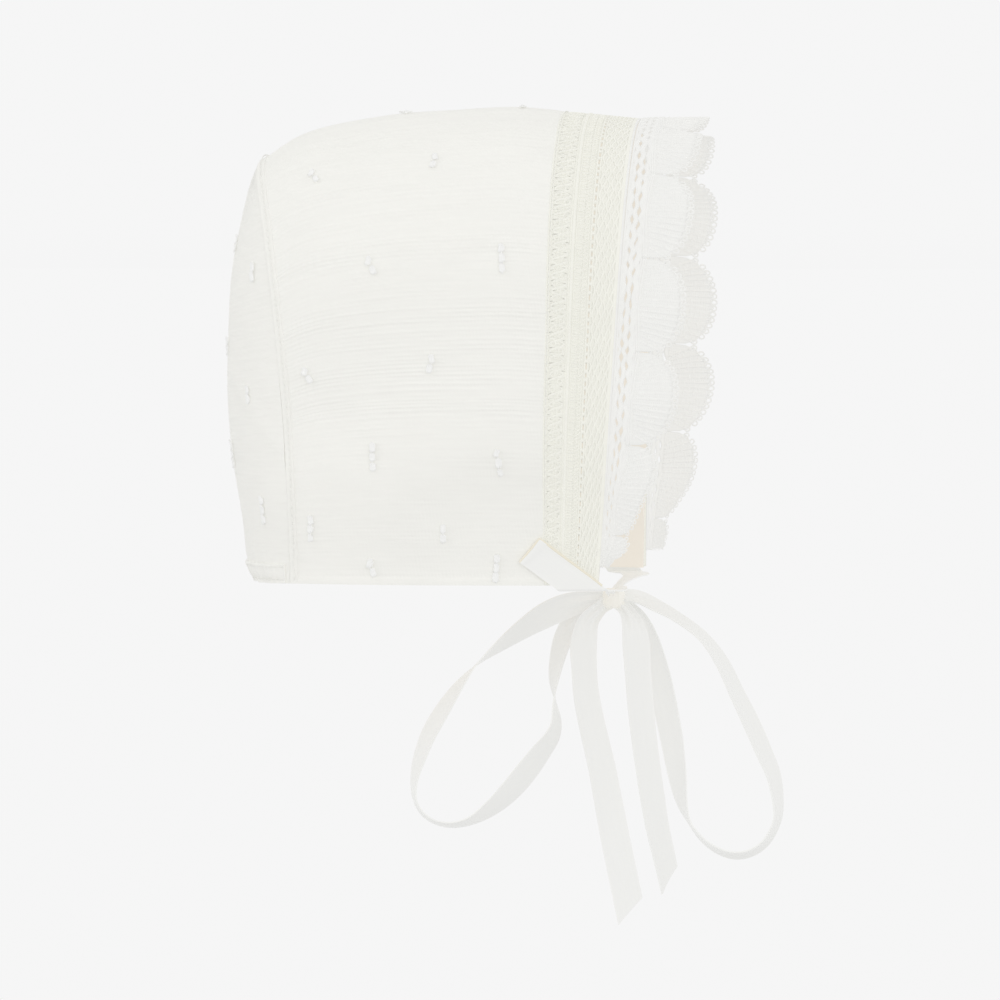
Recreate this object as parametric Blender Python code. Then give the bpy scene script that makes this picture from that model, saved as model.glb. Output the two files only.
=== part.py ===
"""Baby bonnet in ivory dotted gauze, with a cream lining, a lace band, a lace ruffle and ribbon ties in a bow.

Metres, +Z up. The face opening looks along +X and the wearer's left is +Y. The origin is the point inside the
crown where the top of the head sits. Layers lie outward from the lining's outer face, which is the base surface.
"""

import math
from collections import namedtuple

import bmesh
import bpy
from mathutils import Vector

# Main form
HALF_WIDTH = 0.055  # centre plane to the lining's outer face at the ears
CROWN_HEIGHT = 0.1575  # highest point of the lining's outer face to the hem
FRONT_X = 0.054  # front edge at the top of the head
RIGHT_SLANT = 0.0105  # how much further back the right front edge is at the hem
LEFT_SLANT = 0.0010  # the same on the left, which hangs straighter
SEAM_X = -0.058  # back seam at the hem
SEAM_LEAN = 0.0152  # how much further back the seam is at the top of the head
ARCH_SHARE = 0.42  # share of the height from the top to the widest level
ARCH_POWER = 2.2  # 2 is an ellipse, more is squarer
BACK_DEPTH = 0.024  # how far the back panel bulges behind its seam
BACK_ARC = 78.0  # half of the back panel's turn from side to side, in degrees

# Layers
LINING_THICK = 0.001
CLOTH_THICK = 0.001
LACE_THICK = 0.001
RIBBON_THICK = 0.001
LAYER_GAP = 0.0003

# Trim
BAND_WIDTH = 0.025  # at the top of the head
BAND_SHARE = 0.67  # share of the front edge's slant that the band loses in width
SEAM_WIDTH = 0.0026  # folded edge sewn down over the crown's back edge
SEAM_THICK = 0.0009
CASING_HEIGHT = 0.0065
CASING_INSET = 0.0035  # casing's end to the back seam
GATHER_COUNT = 9
GATHER_DEPTH = 0.0009

# Lace ruffle
FAN_PITCH = 0.031
RUFFLE_FANS = 5.875  # fans from the middle of the top one to each end
TAPER_START = 0.62  # where the ruffle begins to narrow towards its ends, as a share of the way
TAPER = 0.68  # how much narrower it is at its ends
NET_WIDTH = 0.0085  # open net between the heading and the fans
FAN_REACH = 0.0145  # from the net to a fan's tip
NOTCH_REACH = 0.0035  # from the net to the notch between two fans
FAN_POWER = 2.3  # 2 is an elliptical fan, more is squarer
HEADING_WIDTH = 0.0015
NET_HOLE = 0.0025
NET_BAR = 0.0008
FLARE_DEGREES = 56.0  # how steeply the net stands out from the band at the ears
FLARE_AT_TOP = 0.12  # share of that flare over the top of the head
RUFFLE_WAVE = 0.0022  # how far the fans belly out and the notches fall in

# Ribbon ties and bow
RIBBON_WIDTH = 0.010
KNOT_SIZE = 0.0066
KNOT_BEHIND_FRONT = 0.0080  # knot behind the front edge at the top of the head
KNOT_BELOW_HEM = 0.0075
TIE_UNDER = 0.0015  # length of a tie under the hem before it hangs free
BOW_SIZE = 0.100  # length that the bow's routes below are shares of
KNOT_PINCH = 0.5  # a ribbon's width where it enters the knot, as a share of its full width

# Counts of flat faces
AROUND_STEPS = 20  # from the top of the head to one hem
CROWN_STEPS = 6
BAND_STEPS = 3
BACK_STEPS = 14
FAN_STEPS = 8
FAN_ROWS = 3
CASING_STEPS = 54
TIE_STEPS = 8
BACK_START = 0.04  # the back panel's top edge, as a share of the way down the seam
BACK_TURN = 0.985  # the back panel's side edges, as a share of the way from its middle to the seam

Station = namedtuple("Station", "along top_drop half_width tuck_start tuck")
# From the front edge (0) to the back seam (1). top_drop is a share of the height; half_width a share of the half
# width; tuck_start is the share of the drop where the side turns in, and tuck how far in it goes at the hem.
STATIONS = (
    Station(0.00, 0.0235, 0.95, 0.58, 0.20),
    Station(0.10, 0.0155, 0.97, 0.60, 0.19),
    Station(0.21, 0.0080, 0.99, 0.62, 0.18),
    Station(0.32, 0.0000, 1.00, 0.64, 0.17),
    Station(0.48, 0.0050, 1.00, 0.68, 0.15),
    Station(0.64, 0.0140, 0.99, 0.70, 0.13),
    Station(0.82, 0.0390, 0.95, 0.72, 0.11),
    Station(0.91, 0.0640, 0.91, 0.72, 0.10),
    Station(1.00, 0.1120, 0.87, 0.72, 0.09),
)

Back = namedtuple("Back", "around lean bulge sag")
# From the top of the back seam (0) down to the hem (1). lean is how far back the seam is, as a share of
# SEAM_LEAN; bulge and sag are how far behind and below it the back panel's middle is, as shares of BACK_DEPTH.
BACKS = (
    Back(0.00, 1.00, 0.00, 0.00),
    Back(0.06, 0.98, 0.04, 0.04),
    Back(0.13, 0.93, 0.16, 0.13),
    Back(0.21, 0.78, 0.36, 0.21),
    Back(0.29, 0.61, 0.57, 0.25),
    Back(0.38, 0.45, 0.76, 0.25),
    Back(0.46, 0.33, 0.87, 0.21),
    Back(0.62, 0.16, 1.00, 0.12),
    Back(0.76, 0.05, 0.99, 0.06),
    Back(0.90, 0.01, 0.86, 0.02),
    Back(1.00, 0.00, 0.79, 0.00),
)

Dent = namedtuple("Dent", "side around along spread_around spread_along depth")
# Soft dents and folds of the crown. side is -1 right, 1 left; depth is a share of the half width, inward.
DENTS = (
    Dent(-1, 0.66, 0.80, 0.10, 0.22, 0.030),
    Dent(-1, 0.84, 0.30, 0.07, 0.30, 0.024),
    Dent(-1, 0.42, 0.42, 0.12, 0.24, -0.014),
    Dent(1, 0.70, 0.62, 0.10, 0.26, 0.028),
    Dent(1, 0.86, 0.26, 0.08, 0.26, 0.022),
    Dent(1, 0.40, 0.35, 0.12, 0.24, -0.012),
)

Tie = namedtuple("Tie", "name side start_behind start_above hem_behind")
# Each tie is sewn slantwise to the front corner: the middle of its end, behind the front edge and above the
# hem, then where it crosses the hem.
TIES = (
    Tie("tie_right", -1, 0.0225, 0.0120, 0.0065),
    Tie("tie_left", 1, 0.0190, 0.0150, 0.0082),
)

Turn = namedtuple("Turn", "ahead left up face pinch")
# The bow's routes, from the knot's centre, in shares of BOW_SIZE. face is the angle in degrees by which the
# ribbon is turned from facing sideways (0) to edge-on (90); pinch is the share of its full width.
LOOP_BACK = (
    Turn(-0.045, 0.010, 0.000, 12, 0.50),
    Turn(-0.140, 0.004, -0.020, 18, 0.85),
    Turn(-0.222, 0.000, -0.054, 30, 1.0),
    Turn(-0.305, 0.000, -0.104, 48, 1.0),
    Turn(-0.388, 0.000, -0.164, 68, 1.0),
    Turn(-0.470, 0.000, -0.232, 90, 1.0),
    Turn(-0.533, 0.000, -0.306, 110, 1.0),
    Turn(-0.588, 0.000, -0.388, 122, 1.0),
    Turn(-0.635, 0.000, -0.470, 124, 1.0),
    Turn(-0.667, 0.000, -0.552, 119, 1.0),
    Turn(-0.686, 0.000, -0.625, 110, 1.0),
    Turn(-0.686, 0.002, -0.690, 105, 1.0),
    Turn(-0.662, 0.005, -0.742, 103, 1.0),
    Turn(-0.615, 0.008, -0.776, 101, 1.0),
    Turn(-0.553, 0.010, -0.786, 102, 1.0),
    Turn(-0.488, 0.012, -0.770, 110, 1.0),
    Turn(-0.424, 0.014, -0.730, 122, 1.0),
    Turn(-0.362, 0.016, -0.674, 133, 1.0),
    Turn(-0.306, 0.020, -0.608, 143, 1.0),
    Turn(-0.252, 0.026, -0.536, 136, 1.0),
    Turn(-0.212, 0.034, -0.480, 118, 1.0),
    Turn(-0.198, 0.042, -0.430, 104, 1.0),
    Turn(-0.204, 0.050, -0.366, 90, 1.0),
    Turn(-0.208, 0.056, -0.290, 68, 1.0),
    Turn(-0.196, 0.058, -0.212, 56, 1.0),
    Turn(-0.174, 0.056, -0.140, 46, 0.95),
    Turn(-0.130, 0.044, -0.070, 30, 0.75),
    Turn(-0.066, 0.030, -0.034, 14, 0.50),
)
LOOP_FRONT = (
    Turn(0.045, -0.004, 0.008, 20, 0.5),
    Turn(0.085, -0.002, 0.000, 40, 0.70),
    Turn(0.141, 0.000, -0.028, 62, 0.95),
    Turn(0.212, 0.000, -0.064, 76, 1),
    Turn(0.301, 0.000, -0.130, 76, 1),
    Turn(0.366, 0.000, -0.217, 69, 1),
    Turn(0.418, 0.000, -0.324, 65, 1),
    Turn(0.466, 0.000, -0.422, 61, 1),
    Turn(0.510, 0.000, -0.522, 62, 1),
    Turn(0.542, 0.000, -0.600, 66, 1),
    Turn(0.556, 0.002, -0.680, 72, 1),
    Turn(0.555, 0.005, -0.748, 76, 1),
    Turn(0.523, 0.008, -0.818, 78, 1),
    Turn(0.474, 0.012, -0.860, 76, 1),
    Turn(0.414, 0.016, -0.874, 74, 1),
    Turn(0.354, 0.020, -0.858, 76, 1),
    Turn(0.300, 0.026, -0.820, 79, 1),
    Turn(0.258, 0.034, -0.764, 78, 1),
    Turn(0.230, 0.044, -0.690, 62, 1),
    Turn(0.212, 0.052, -0.590, 46, 1),
    Turn(0.194, 0.058, -0.480, 36, 1),
    Turn(0.172, 0.060, -0.370, 32, 1),
    Turn(0.148, 0.058, -0.260, 34, 1),
    Turn(0.122, 0.052, -0.160, 38, 0.95),
    Turn(0.092, 0.044, -0.086, 30, 0.75),
    Turn(0.058, 0.030, -0.038, 14, 0.5),
)
TAIL_BACK = (
    Turn(-0.048, -0.024, -0.034, 10, 0.5),
    Turn(-0.086, -0.040, -0.080, 20, 0.75),
    Turn(-0.100, -0.046, -0.150, 32, 1),
    Turn(-0.104, -0.046, -0.240, 38, 1),
    Turn(-0.100, -0.044, -0.320, 34, 1),
    Turn(-0.088, -0.042, -0.400, 22, 1),
    Turn(-0.070, -0.040, -0.480, 12, 1),
    Turn(-0.048, -0.038, -0.580, 8, 1),
    Turn(-0.024, -0.036, -0.700, 8, 1),
    Turn(0.004, -0.034, -0.820, 8, 1),
    Turn(0.032, -0.032, -0.940, 8, 1),
    Turn(0.060, -0.030, -1.066, 8, 1),
)
TAIL_FRONT = (
    Turn(0.044, -0.032, -0.040, 10, 0.50),
    Turn(0.066, -0.044, -0.086, 20, 0.75),
    Turn(0.078, -0.046, -0.150, 30, 1.0),
    Turn(0.084, -0.048, -0.240, 34, 1.0),
    Turn(0.092, -0.048, -0.340, 34, 1.0),
    Turn(0.102, -0.046, -0.440, 36, 1.0),
    Turn(0.116, -0.044, -0.550, 38, 1.0),
    Turn(0.132, -0.042, -0.660, 40, 1.0),
    Turn(0.152, -0.040, -0.780, 44, 1.0),
    Turn(0.176, -0.038, -0.886, 48, 1.0),
    Turn(0.192, -0.038, -0.958, 50, 1.0),
)
TAIL_CUT = 0.75  # how far a tail's cut end slants, as a share of the ribbon's width

Finish = namedtuple("Finish", "colour roughness")
FINISHES = {
    "gauze": Finish((0.90, 0.89, 0.84), 0.85),
    "lining": Finish((0.90, 0.83, 0.70), 0.80),
    "lace": Finish((0.92, 0.92, 0.88), 0.80),
    "ribbon": Finish((0.90, 0.89, 0.85), 0.45),
}


def smooth(share):
    """0 below 0, 1 above 1, and an S-curve between."""
    share = min(1.0, max(0.0, share))
    return share * share * (3 - 2 * share)


def read(rows, position, wanted, at):
    """A table's wanted column at a place along its position column, on a smooth curve through the rows."""
    places = [getattr(row, position) for row in rows]
    values = [getattr(row, wanted) for row in rows]
    at = min(places[-1], max(places[0], at))
    i = max(k for k in range(len(rows) - 1) if places[k] <= at)

    def slope(k):
        low, high = max(0, k - 1), min(len(rows) - 1, k + 1)
        return (values[high] - values[low]) / (places[high] - places[low])

    step = places[i + 1] - places[i]
    u = (at - places[i]) / step
    return (
        values[i] * (1 + 2 * u) * (1 - u) ** 2
        + values[i + 1] * u * u * (3 - 2 * u)
        + slope(i) * step * u * (1 - u) ** 2
        - slope(i + 1) * step * u * u * (1 - u)
    )


def half_section():
    """The crown's half section from the top to the hem: (width share, drop share, share of the way along)."""
    fine = 60
    outline = []
    for i in range(fine + 1):
        angle = math.pi / 2 * i / fine
        across = math.sin(angle) ** (2 / ARCH_POWER)
        down = 1 - max(0.0, math.cos(angle)) ** (2 / ARCH_POWER)
        outline.append((across, ARCH_SHARE * down))
    for i in range(1, fine + 1):
        outline.append((1.0, ARCH_SHARE + (1 - ARCH_SHARE) * i / fine))
    walked = [0.0]
    for a, b in zip(outline, outline[1:]):
        walked.append(walked[-1] + math.hypot((b[0] - a[0]) * HALF_WIDTH, (b[1] - a[1]) * CROWN_HEIGHT))
    return [(w, d, length / walked[-1]) for (w, d), length in zip(outline, walked)]


SECTION = half_section()


def section_at(share):
    """(width share, drop share) at a share of the way from the top to the hem."""
    share = min(1.0, max(0.0, share))
    for (w0, d0, s0), (w1, d1, s1) in zip(SECTION, SECTION[1:]):
        if share <= s1:
            u = (share - s0) / (s1 - s0)
            return w0 + (w1 - w0) * u, d0 + (d1 - d0) * u
    return SECTION[-1][:2]


def share_at_drop(drop):
    """The share of the way from the top to the hem at a drop share."""
    for (_, d0, s0), (_, d1, s1) in zip(SECTION, SECTION[1:]):
        if drop <= d1:
            return s0 + (s1 - s0) * (drop - d0) / (d1 - d0)
    return 1.0


def front_x(around):
    slant = RIGHT_SLANT if around < 0 else LEFT_SLANT
    return FRONT_X - slant * abs(around) ** 1.5


def seam_x(share):
    return SEAM_X - SEAM_LEAN * read(BACKS, "around", "lean", share)


def depth_at(around):
    """Front edge to back seam at a place around the crown."""
    return front_x(around) - seam_x(abs(around))


def crown_point(around, along):
    """The base surface of the crown. around runs from the right hem (-1) over the top (0) to the left hem (1)."""
    side, share = (-1 if around < 0 else 1), abs(around)
    across, drop = section_at(share)
    top = LINING_THICK - CROWN_HEIGHT * read(STATIONS, "along", "top_drop", along)
    hem = LINING_THICK - CROWN_HEIGHT
    start = read(STATIONS, "along", "tuck_start", along)
    tucked = read(STATIONS, "along", "tuck", along) * smooth((drop - start) / (1 - start)) ** 1.2
    dented = sum(
        dent.depth
        * math.exp(
            -(((share - dent.around) / dent.spread_around) ** 2)
            - ((along - dent.along) / dent.spread_along) ** 2
        )
        for dent in DENTS
        if dent.side == side
    )
    width = HALF_WIDTH * read(STATIONS, "along", "half_width", along) * across * (1 - tucked - dented)
    x = front_x(around) - depth_at(around) * along
    return Vector((x, side * width, top + (hem - top) * drop))


def back_point(share, swing):
    """The base surface of the back panel. swing turns from the right seam (-1) to the left seam (1)."""
    seam = crown_point(math.copysign(share, swing or 1.0), 1.0)
    arc, angle = math.radians(BACK_ARC), math.radians(BACK_ARC * swing)
    middle = (math.cos(angle) - math.cos(arc)) / (1 - math.cos(arc))
    bulge = BACK_DEPTH * read(BACKS, "around", "bulge", share) * middle
    sag = BACK_DEPTH * read(BACKS, "around", "sag", share) * middle
    return Vector((seam.x - bulge, abs(seam.y) * math.sin(angle) / math.sin(arc), seam.z - sag))


def crown_normal(around, along):
    step = 0.004
    along = min(1.0, max(0.0, along))
    a = crown_point(min(1.0, around + step), along) - crown_point(max(-1.0, around - step), along)
    b = crown_point(around, min(1.0, along + step)) - crown_point(around, max(0.0, along - step))
    return a.cross(b).normalized()


def back_normal(share, swing):
    share = max(0.02, share)
    swing = min(0.99, max(-0.99, swing))
    a = back_point(share, swing + 0.01) - back_point(share, swing - 0.01)
    b = back_point(min(1.0, share + 0.01), swing) - back_point(share - 0.01, swing)
    return a.cross(b).normalized()


def raised_crown(around, along, height):
    return crown_point(around, along) + crown_normal(around, along) * height


def raised_back(share, swing, height):
    return back_point(share, swing) + back_normal(share, swing) * height


def steps(low, high, count):
    return [low + (high - low) * i / count for i in range(count + 1)]


def material(name):
    made = bpy.data.materials.get(name)
    if made is None:
        made = bpy.data.materials.new(name)
        made.use_nodes = True
        shader = made.node_tree.nodes["Principled BSDF"]
        shader.inputs["Base Color"].default_value = (*FINISHES[name].colour, 1.0)
        shader.inputs["Roughness"].default_value = FINISHES[name].roughness
        shader.inputs["Metallic"].default_value = 0.0
    return made


def add_object(name, data, finish):
    obj = bpy.data.objects.new(name, data)
    bpy.context.scene.collection.objects.link(obj)
    obj.data.materials.append(material(finish))
    return obj


def mesh_of(name, points, faces):
    """A mesh with points that coincide made one."""
    mesh = bpy.data.meshes.new(name)
    mesh.from_pydata([tuple(p) for p in points], [], faces)
    work = bmesh.new()
    work.from_mesh(mesh)
    bmesh.ops.remove_doubles(work, verts=work.verts, dist=1e-6)
    bmesh.ops.dissolve_degenerate(work, edges=work.edges, dist=1e-7)
    work.to_mesh(mesh)
    work.free()
    mesh.shade_smooth()
    return mesh


def wall(name, points, faces, thick, finish):
    """A sheet whose outer face is the given surface and whose wall goes inward from it."""
    obj = add_object(name, mesh_of(name, points, faces), finish)
    solid = obj.modifiers.new("Wall", "SOLIDIFY")
    solid.thickness = thick
    solid.offset = -1.0
    solid.use_even_offset = True
    solid.use_quality_normals = True
    return obj


def sheet_faces(rows, columns, first=0, left_out=()):
    """Quads of a grid stored row by row, without the cells in left_out."""
    faces = []
    for r in range(rows):
        for c in range(columns):
            if (r, c) not in left_out:
                a = first + r * (columns + 1) + c
                b = a + columns + 1
                faces.append((a, b, b + 1, a + 1))
    return faces


def crown_alongs(around, low, high, count):
    """Places from the front edge (0) to the back seam (1), between two lengths behind the front edge."""
    depth = depth_at(around)
    return steps(low / depth, high / depth, count)


def band_width(around):
    return BAND_WIDTH - BAND_SHARE * (FRONT_X - front_x(around))


def crown_sheet(low, high, count, height):
    """Points and faces of a strip of the crown. low and high are lengths behind the front edge at a place."""
    points = []
    for around in steps(-1.0, 1.0, 2 * AROUND_STEPS):
        for along in crown_alongs(around, low(around), high(around), count):
            points.append(raised_crown(around, min(1.0, along), height))
    return points, sheet_faces(2 * AROUND_STEPS, count)


def back_sheet(height, first, turn):
    """Points and faces of the back panel, from a share of the way down and out to a swing on each side."""
    points = []
    for share in steps(first, 1.0, AROUND_STEPS):
        for swing in steps(-turn, turn, BACK_STEPS):
            points.append(raised_back(share, swing, height))
    faces = [face[::-1] for face in sheet_faces(AROUND_STEPS, BACK_STEPS)]
    return points, faces


def length_of(places):
    return sum((b - a).length for a, b in zip(places, places[1:]))


def front_length():
    """The length of the front edge from the top to the hem, along the half section."""
    wide = [(across * HALF_WIDTH, drop * CROWN_HEIGHT) for across, drop, _ in SECTION]
    return length_of([Vector(place) for place in wide])


def seam_length():
    """The length of the back seam from the top to the hem."""
    return length_of([crown_point(share, 1.0) for share in steps(0.0, 1.0, AROUND_STEPS)])


def outer_height():
    return LAYER_GAP + CLOTH_THICK


def make_lining():
    """The inner layer of the crown, up to the back panel's lining."""
    points = []
    for around in steps(-1.0, 1.0, 2 * AROUND_STEPS):
        for along in crown_alongs(around, 0.0, band_width(around), BAND_STEPS)[:-1]:
            points.append(crown_point(around, along))
        end = depth_at(around) - LINING_THICK - 3 * LAYER_GAP
        for along in crown_alongs(around, band_width(around), end, CROWN_STEPS):
            points.append(crown_point(around, along))
    faces = sheet_faces(2 * AROUND_STEPS, BAND_STEPS + CROWN_STEPS)
    wall("lining", points, faces, LINING_THICK, "lining")


def make_back_lining():
    """The inner layer of the back panel, which meets the crown's lining inside the seam."""
    points, faces = back_sheet(0.0, BACK_START, BACK_TURN)
    wall("back_lining", points, faces, LINING_THICK, "lining")


def make_crown_panel():
    def low(around):
        return band_width(around) + LAYER_GAP

    def high(around):
        return depth_at(around) - LAYER_GAP

    points, faces = crown_sheet(low, high, CROWN_STEPS, outer_height())
    wall("crown_panel", points, faces, CLOTH_THICK, "gauze")


def make_lace_band():
    def low(around):
        return 0.0

    points, faces = crown_sheet(low, band_width, BAND_STEPS, LAYER_GAP + LACE_THICK)
    wall("lace_band", points, faces, LACE_THICK, "lace")


def make_back_panel():
    points, faces = back_sheet(outer_height(), BACK_START, BACK_TURN)
    wall("back_panel", points, faces, CLOTH_THICK, "gauze")


def make_back_seam():
    """The crown's back edge, folded and sewn down: a narrow strip a layer outside the crown panel."""

    def low(around):
        return depth_at(around) - SEAM_WIDTH

    points, faces = crown_sheet(low, depth_at, 1, outer_height() + LAYER_GAP + SEAM_THICK)
    wall("back_seam", points, faces, SEAM_THICK, "gauze")


def make_nape_casing():
    """The gathered hem of the back panel, a layer outside it."""
    height = outer_height() + LAYER_GAP + CLOTH_THICK
    end = 1.0 - CASING_INSET / BACK_DEPTH
    low = 1.0 - CASING_HEIGHT / seam_length()
    points = []
    for share in steps(low, 1.0, 2):
        for swing in steps(-end, end, CASING_STEPS):
            pleat = GATHER_DEPTH * (1 - swing**2) * (1 - math.cos(math.pi * swing * GATHER_COUNT)) / 2
            points.append(raised_back(share, swing, height + pleat))
    faces = [face[::-1] for face in sheet_faces(2, CASING_STEPS)]
    wall("nape_casing", points, faces, CLOTH_THICK, "gauze")


def fan_reach(phase):
    """The lace's reach past the net, from a fan's middle (0) to its notches (-1 and 1)."""
    rise = max(0.0, 1 - abs(phase) ** FAN_POWER) ** (1 / FAN_POWER)
    return NOTCH_REACH + (FAN_REACH - NOTCH_REACH) * rise


def ruffle_point(fan, across):
    """A point of the ruffle: fan counts fans from the top one, across is the length of lace from its heading."""
    around = fan * FAN_PITCH / front_length()
    share = abs(around)
    phase = 2 * ((fan + 0.5) % 1) - 1
    across *= 1 - TAPER * smooth((share - TAPER_START) / (1 - TAPER_START))
    normal = crown_normal(around, 0.0)
    ahead = (crown_point(around, 0.0) - crown_point(around, 0.02)).normalized()
    flare = FLARE_AT_TOP + (1 - FLARE_AT_TOP) * smooth(share / 0.55)
    steep = math.radians(FLARE_DEGREES) * flare
    net = min(across, NET_WIDTH)
    middle = steep * (1 - 0.5 * net / NET_WIDTH)
    tip = steep * 0.08
    out = net * math.sin(middle) + (across - net) * math.sin(tip)
    forward = net * math.cos(middle) + (across - net) * math.cos(tip)
    wave = RUFFLE_WAVE * math.cos(math.pi * phase) * (across / (NET_WIDTH + FAN_REACH))
    start = crown_point(around, 0.0) + normal * (LAYER_GAP + LACE_THICK) + ahead * LAYER_GAP
    return start + ahead * forward + normal * (out + wave)


def make_lace_ruffle():
    """The gathered lace, with its fan scallops and its net cut through in two staggered rows."""
    rows = [0.0, HEADING_WIDTH]
    for width in (NET_HOLE, NET_BAR, NET_HOLE):
        rows.append(rows[-1] + width)
    rows.append(NET_WIDTH)
    columns = round(2 * RUFFLE_FANS * FAN_STEPS)
    points = []
    for r in range(len(rows) + FAN_ROWS):
        for c in range(columns + 1):
            fan = RUFFLE_FANS * (2 * c / columns - 1)
            phase = 2 * ((fan + 0.5) % 1) - 1
            past_net = fan_reach(phase) * max(0, r - len(rows) + 1) / FAN_ROWS
            points.append(ruffle_point(fan, rows[min(r, len(rows) - 1)] + past_net))
    holes = {(1, c) for c in range(1, columns, 2)} | {(3, c) for c in range(2, columns - 1, 2)}
    faces = sheet_faces(len(rows) + FAN_ROWS - 1, columns, left_out=holes)
    wall("lace_ruffle", points, faces, LACE_THICK, "lace")


def ribbon(name, centres, acrosses, widths):
    """A flat ribbon along centres, each with its unit direction across the width and its own width."""
    work = bmesh.new()
    rings = []
    for i, (centre, across, width) in enumerate(zip(centres, acrosses, widths)):
        ahead = (centres[min(i + 1, len(centres) - 1)] - centres[max(i - 1, 0)]).normalized()
        across = (across - ahead * across.dot(ahead)).normalized()
        face = ahead.cross(across)
        rings.append(
            [
                work.verts.new(centre + across * width * u / 2 + face * RIBBON_THICK * v / 2)
                for u, v in ((-1, -1), (1, -1), (1, 1), (-1, 1))
            ]
        )
    for a, b in zip(rings, rings[1:]):
        for k in range(4):
            work.faces.new((a[k], a[(k + 1) % 4], b[(k + 1) % 4], b[k]))
    work.faces.new(rings[0][::-1])
    work.faces.new(rings[-1])
    bmesh.ops.recalc_face_normals(work, faces=work.faces)
    mesh = bpy.data.meshes.new(name)
    work.to_mesh(mesh)
    work.free()
    return add_object(name, mesh, "ribbon")


def knot_place():
    hem = LINING_THICK - CROWN_HEIGHT
    return Vector((FRONT_X - KNOT_BEHIND_FRONT, 0.0, hem - KNOT_BELOW_HEM))


def make_bow_strand(name, turns, cut=0.0):
    """A loop or a tail of the bow, from its table of turns."""
    knot = knot_place()
    sideways = Vector((0.0, 1.0, 0.0))
    centres = [knot + Vector((turn.ahead, turn.left, turn.up)) * BOW_SIZE for turn in turns]
    acrosses = []
    for i, turn in enumerate(turns):
        going = centres[min(i + 1, len(turns) - 1)] - centres[max(i - 1, 0)]
        in_plane = going.cross(sideways).normalized()
        angle = math.radians(turn.face)
        acrosses.append(in_plane * math.cos(angle) + sideways * math.sin(angle))
    obj = ribbon(name, centres, acrosses, [RIBBON_WIDTH * turn.pinch for turn in turns])
    if cut:
        going = (centres[-1] - centres[-2]).normalized()
        for vertex in list(obj.data.vertices)[-4:]:
            beside = (vertex.co - centres[-1]).dot(acrosses[-1]) / RIBBON_WIDTH
            vertex.co -= going * cut * RIBBON_WIDTH * beside


def make_knot():
    mesh = bpy.data.meshes.new("bow_knot")
    work = bmesh.new()
    bmesh.ops.create_cube(work, size=KNOT_SIZE)
    work.to_mesh(mesh)
    work.free()
    obj = add_object("bow_knot", mesh, "ribbon")
    obj.location = knot_place()
    bevel = obj.modifiers.new("Soft corners", "BEVEL")
    bevel.width = KNOT_SIZE * 0.28
    bevel.segments = 2
    bevel.limit_method = "NONE"


def side_place(side, behind, above, height):
    """A place over a side of the crown, behind its front edge. Below the hem it turns under and goes inward."""
    along = behind / depth_at(side * 1.0)
    top = LINING_THICK - CROWN_HEIGHT * read(STATIONS, "along", "top_drop", along)
    hem = LINING_THICK - CROWN_HEIGHT
    share = share_at_drop(1 - max(0.0, above) / (top - hem))
    place = raised_crown(side * share, along, height)
    if above < 0:
        radius = height - outer_height()
        turn = min(math.pi / 2, -above / radius)
        inward = max(0.0, -above - radius * math.pi / 2)
        place += Vector((0.0, -side * (radius * (1 - math.cos(turn)) + inward), -radius * math.sin(turn)))
    return place


def tie_corner(tie, height):
    """Rows of points of a tie's sewn part, across its width: down to the hem, round it and a little inward."""
    going = Vector((tie.hem_behind - tie.start_behind, -tie.start_above)).normalized()
    starts = []
    for u in (-0.5, 0.0, 0.5):
        beside = RIBBON_WIDTH * u
        starts.append((tie.start_behind - going.y * beside, tie.start_above + going.x * beside))
    quarter = (height - outer_height()) * math.pi / 2
    whole = (max(above for _, above in starts) + quarter) / -going.y + TIE_UNDER
    rows = []
    for u in steps(0.0, 1.0, TIE_STEPS):
        rows.append([u * above / -going.y for _, above in starts])
    for u in steps(0.0, 1.0, 3)[1:]:
        rows.append([(above + quarter * u) / -going.y for _, above in starts])
    rows.append([whole] * len(starts))
    return [
        [
            side_place(tie.side, behind + going.x * walked, above + going.y * walked, height)
            for (behind, above), walked in zip(starts, row)
        ]
        for row in rows
    ], Vector((-going.x, tie.side * going.y, 0.0))


def make_tie(tie):
    """A ribbon sewn slantwise to the front corner, which turns under the hem and goes in to the knot."""
    rows, leaving = tie_corner(tie, outer_height() + LAYER_GAP + RIBBON_THICK)
    middle = rows[-1][1]
    across = (rows[-1][2] - rows[-1][0]).normalized()
    end = knot_place() + Vector((0.0, tie.side * 0.60, 0.20)) * KNOT_SIZE
    reach = (end - middle).length * 0.4
    arriving = Vector((0.0, -tie.side, -0.30)).normalized()
    controls = (middle, middle + leaving * reach * 0.5, end - arriving * reach, end)
    for u in steps(0.0, 1.0, TIE_STEPS)[1:]:
        weights = ((1 - u) ** 3, 3 * u * (1 - u) ** 2, 3 * u * u * (1 - u), u**3)
        place = sum((p * w for p, w in zip(controls, weights)), Vector())
        turned = across.lerp(Vector((-0.9, 0.0, -0.45)), smooth(u)).normalized()
        width = RIBBON_WIDTH * (1 + (KNOT_PINCH - 1) * smooth((u - 0.3) / 0.7))
        rows.append([place + turned * width * share for share in (-0.5, 0.0, 0.5)])
    points = [point for row in rows for point in row]
    faces = sheet_faces(len(rows) - 1, 2)
    if tie.side > 0:
        faces = [face[::-1] for face in faces]
    wall(tie.name, points, faces, RIBBON_THICK, "ribbon")


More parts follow.
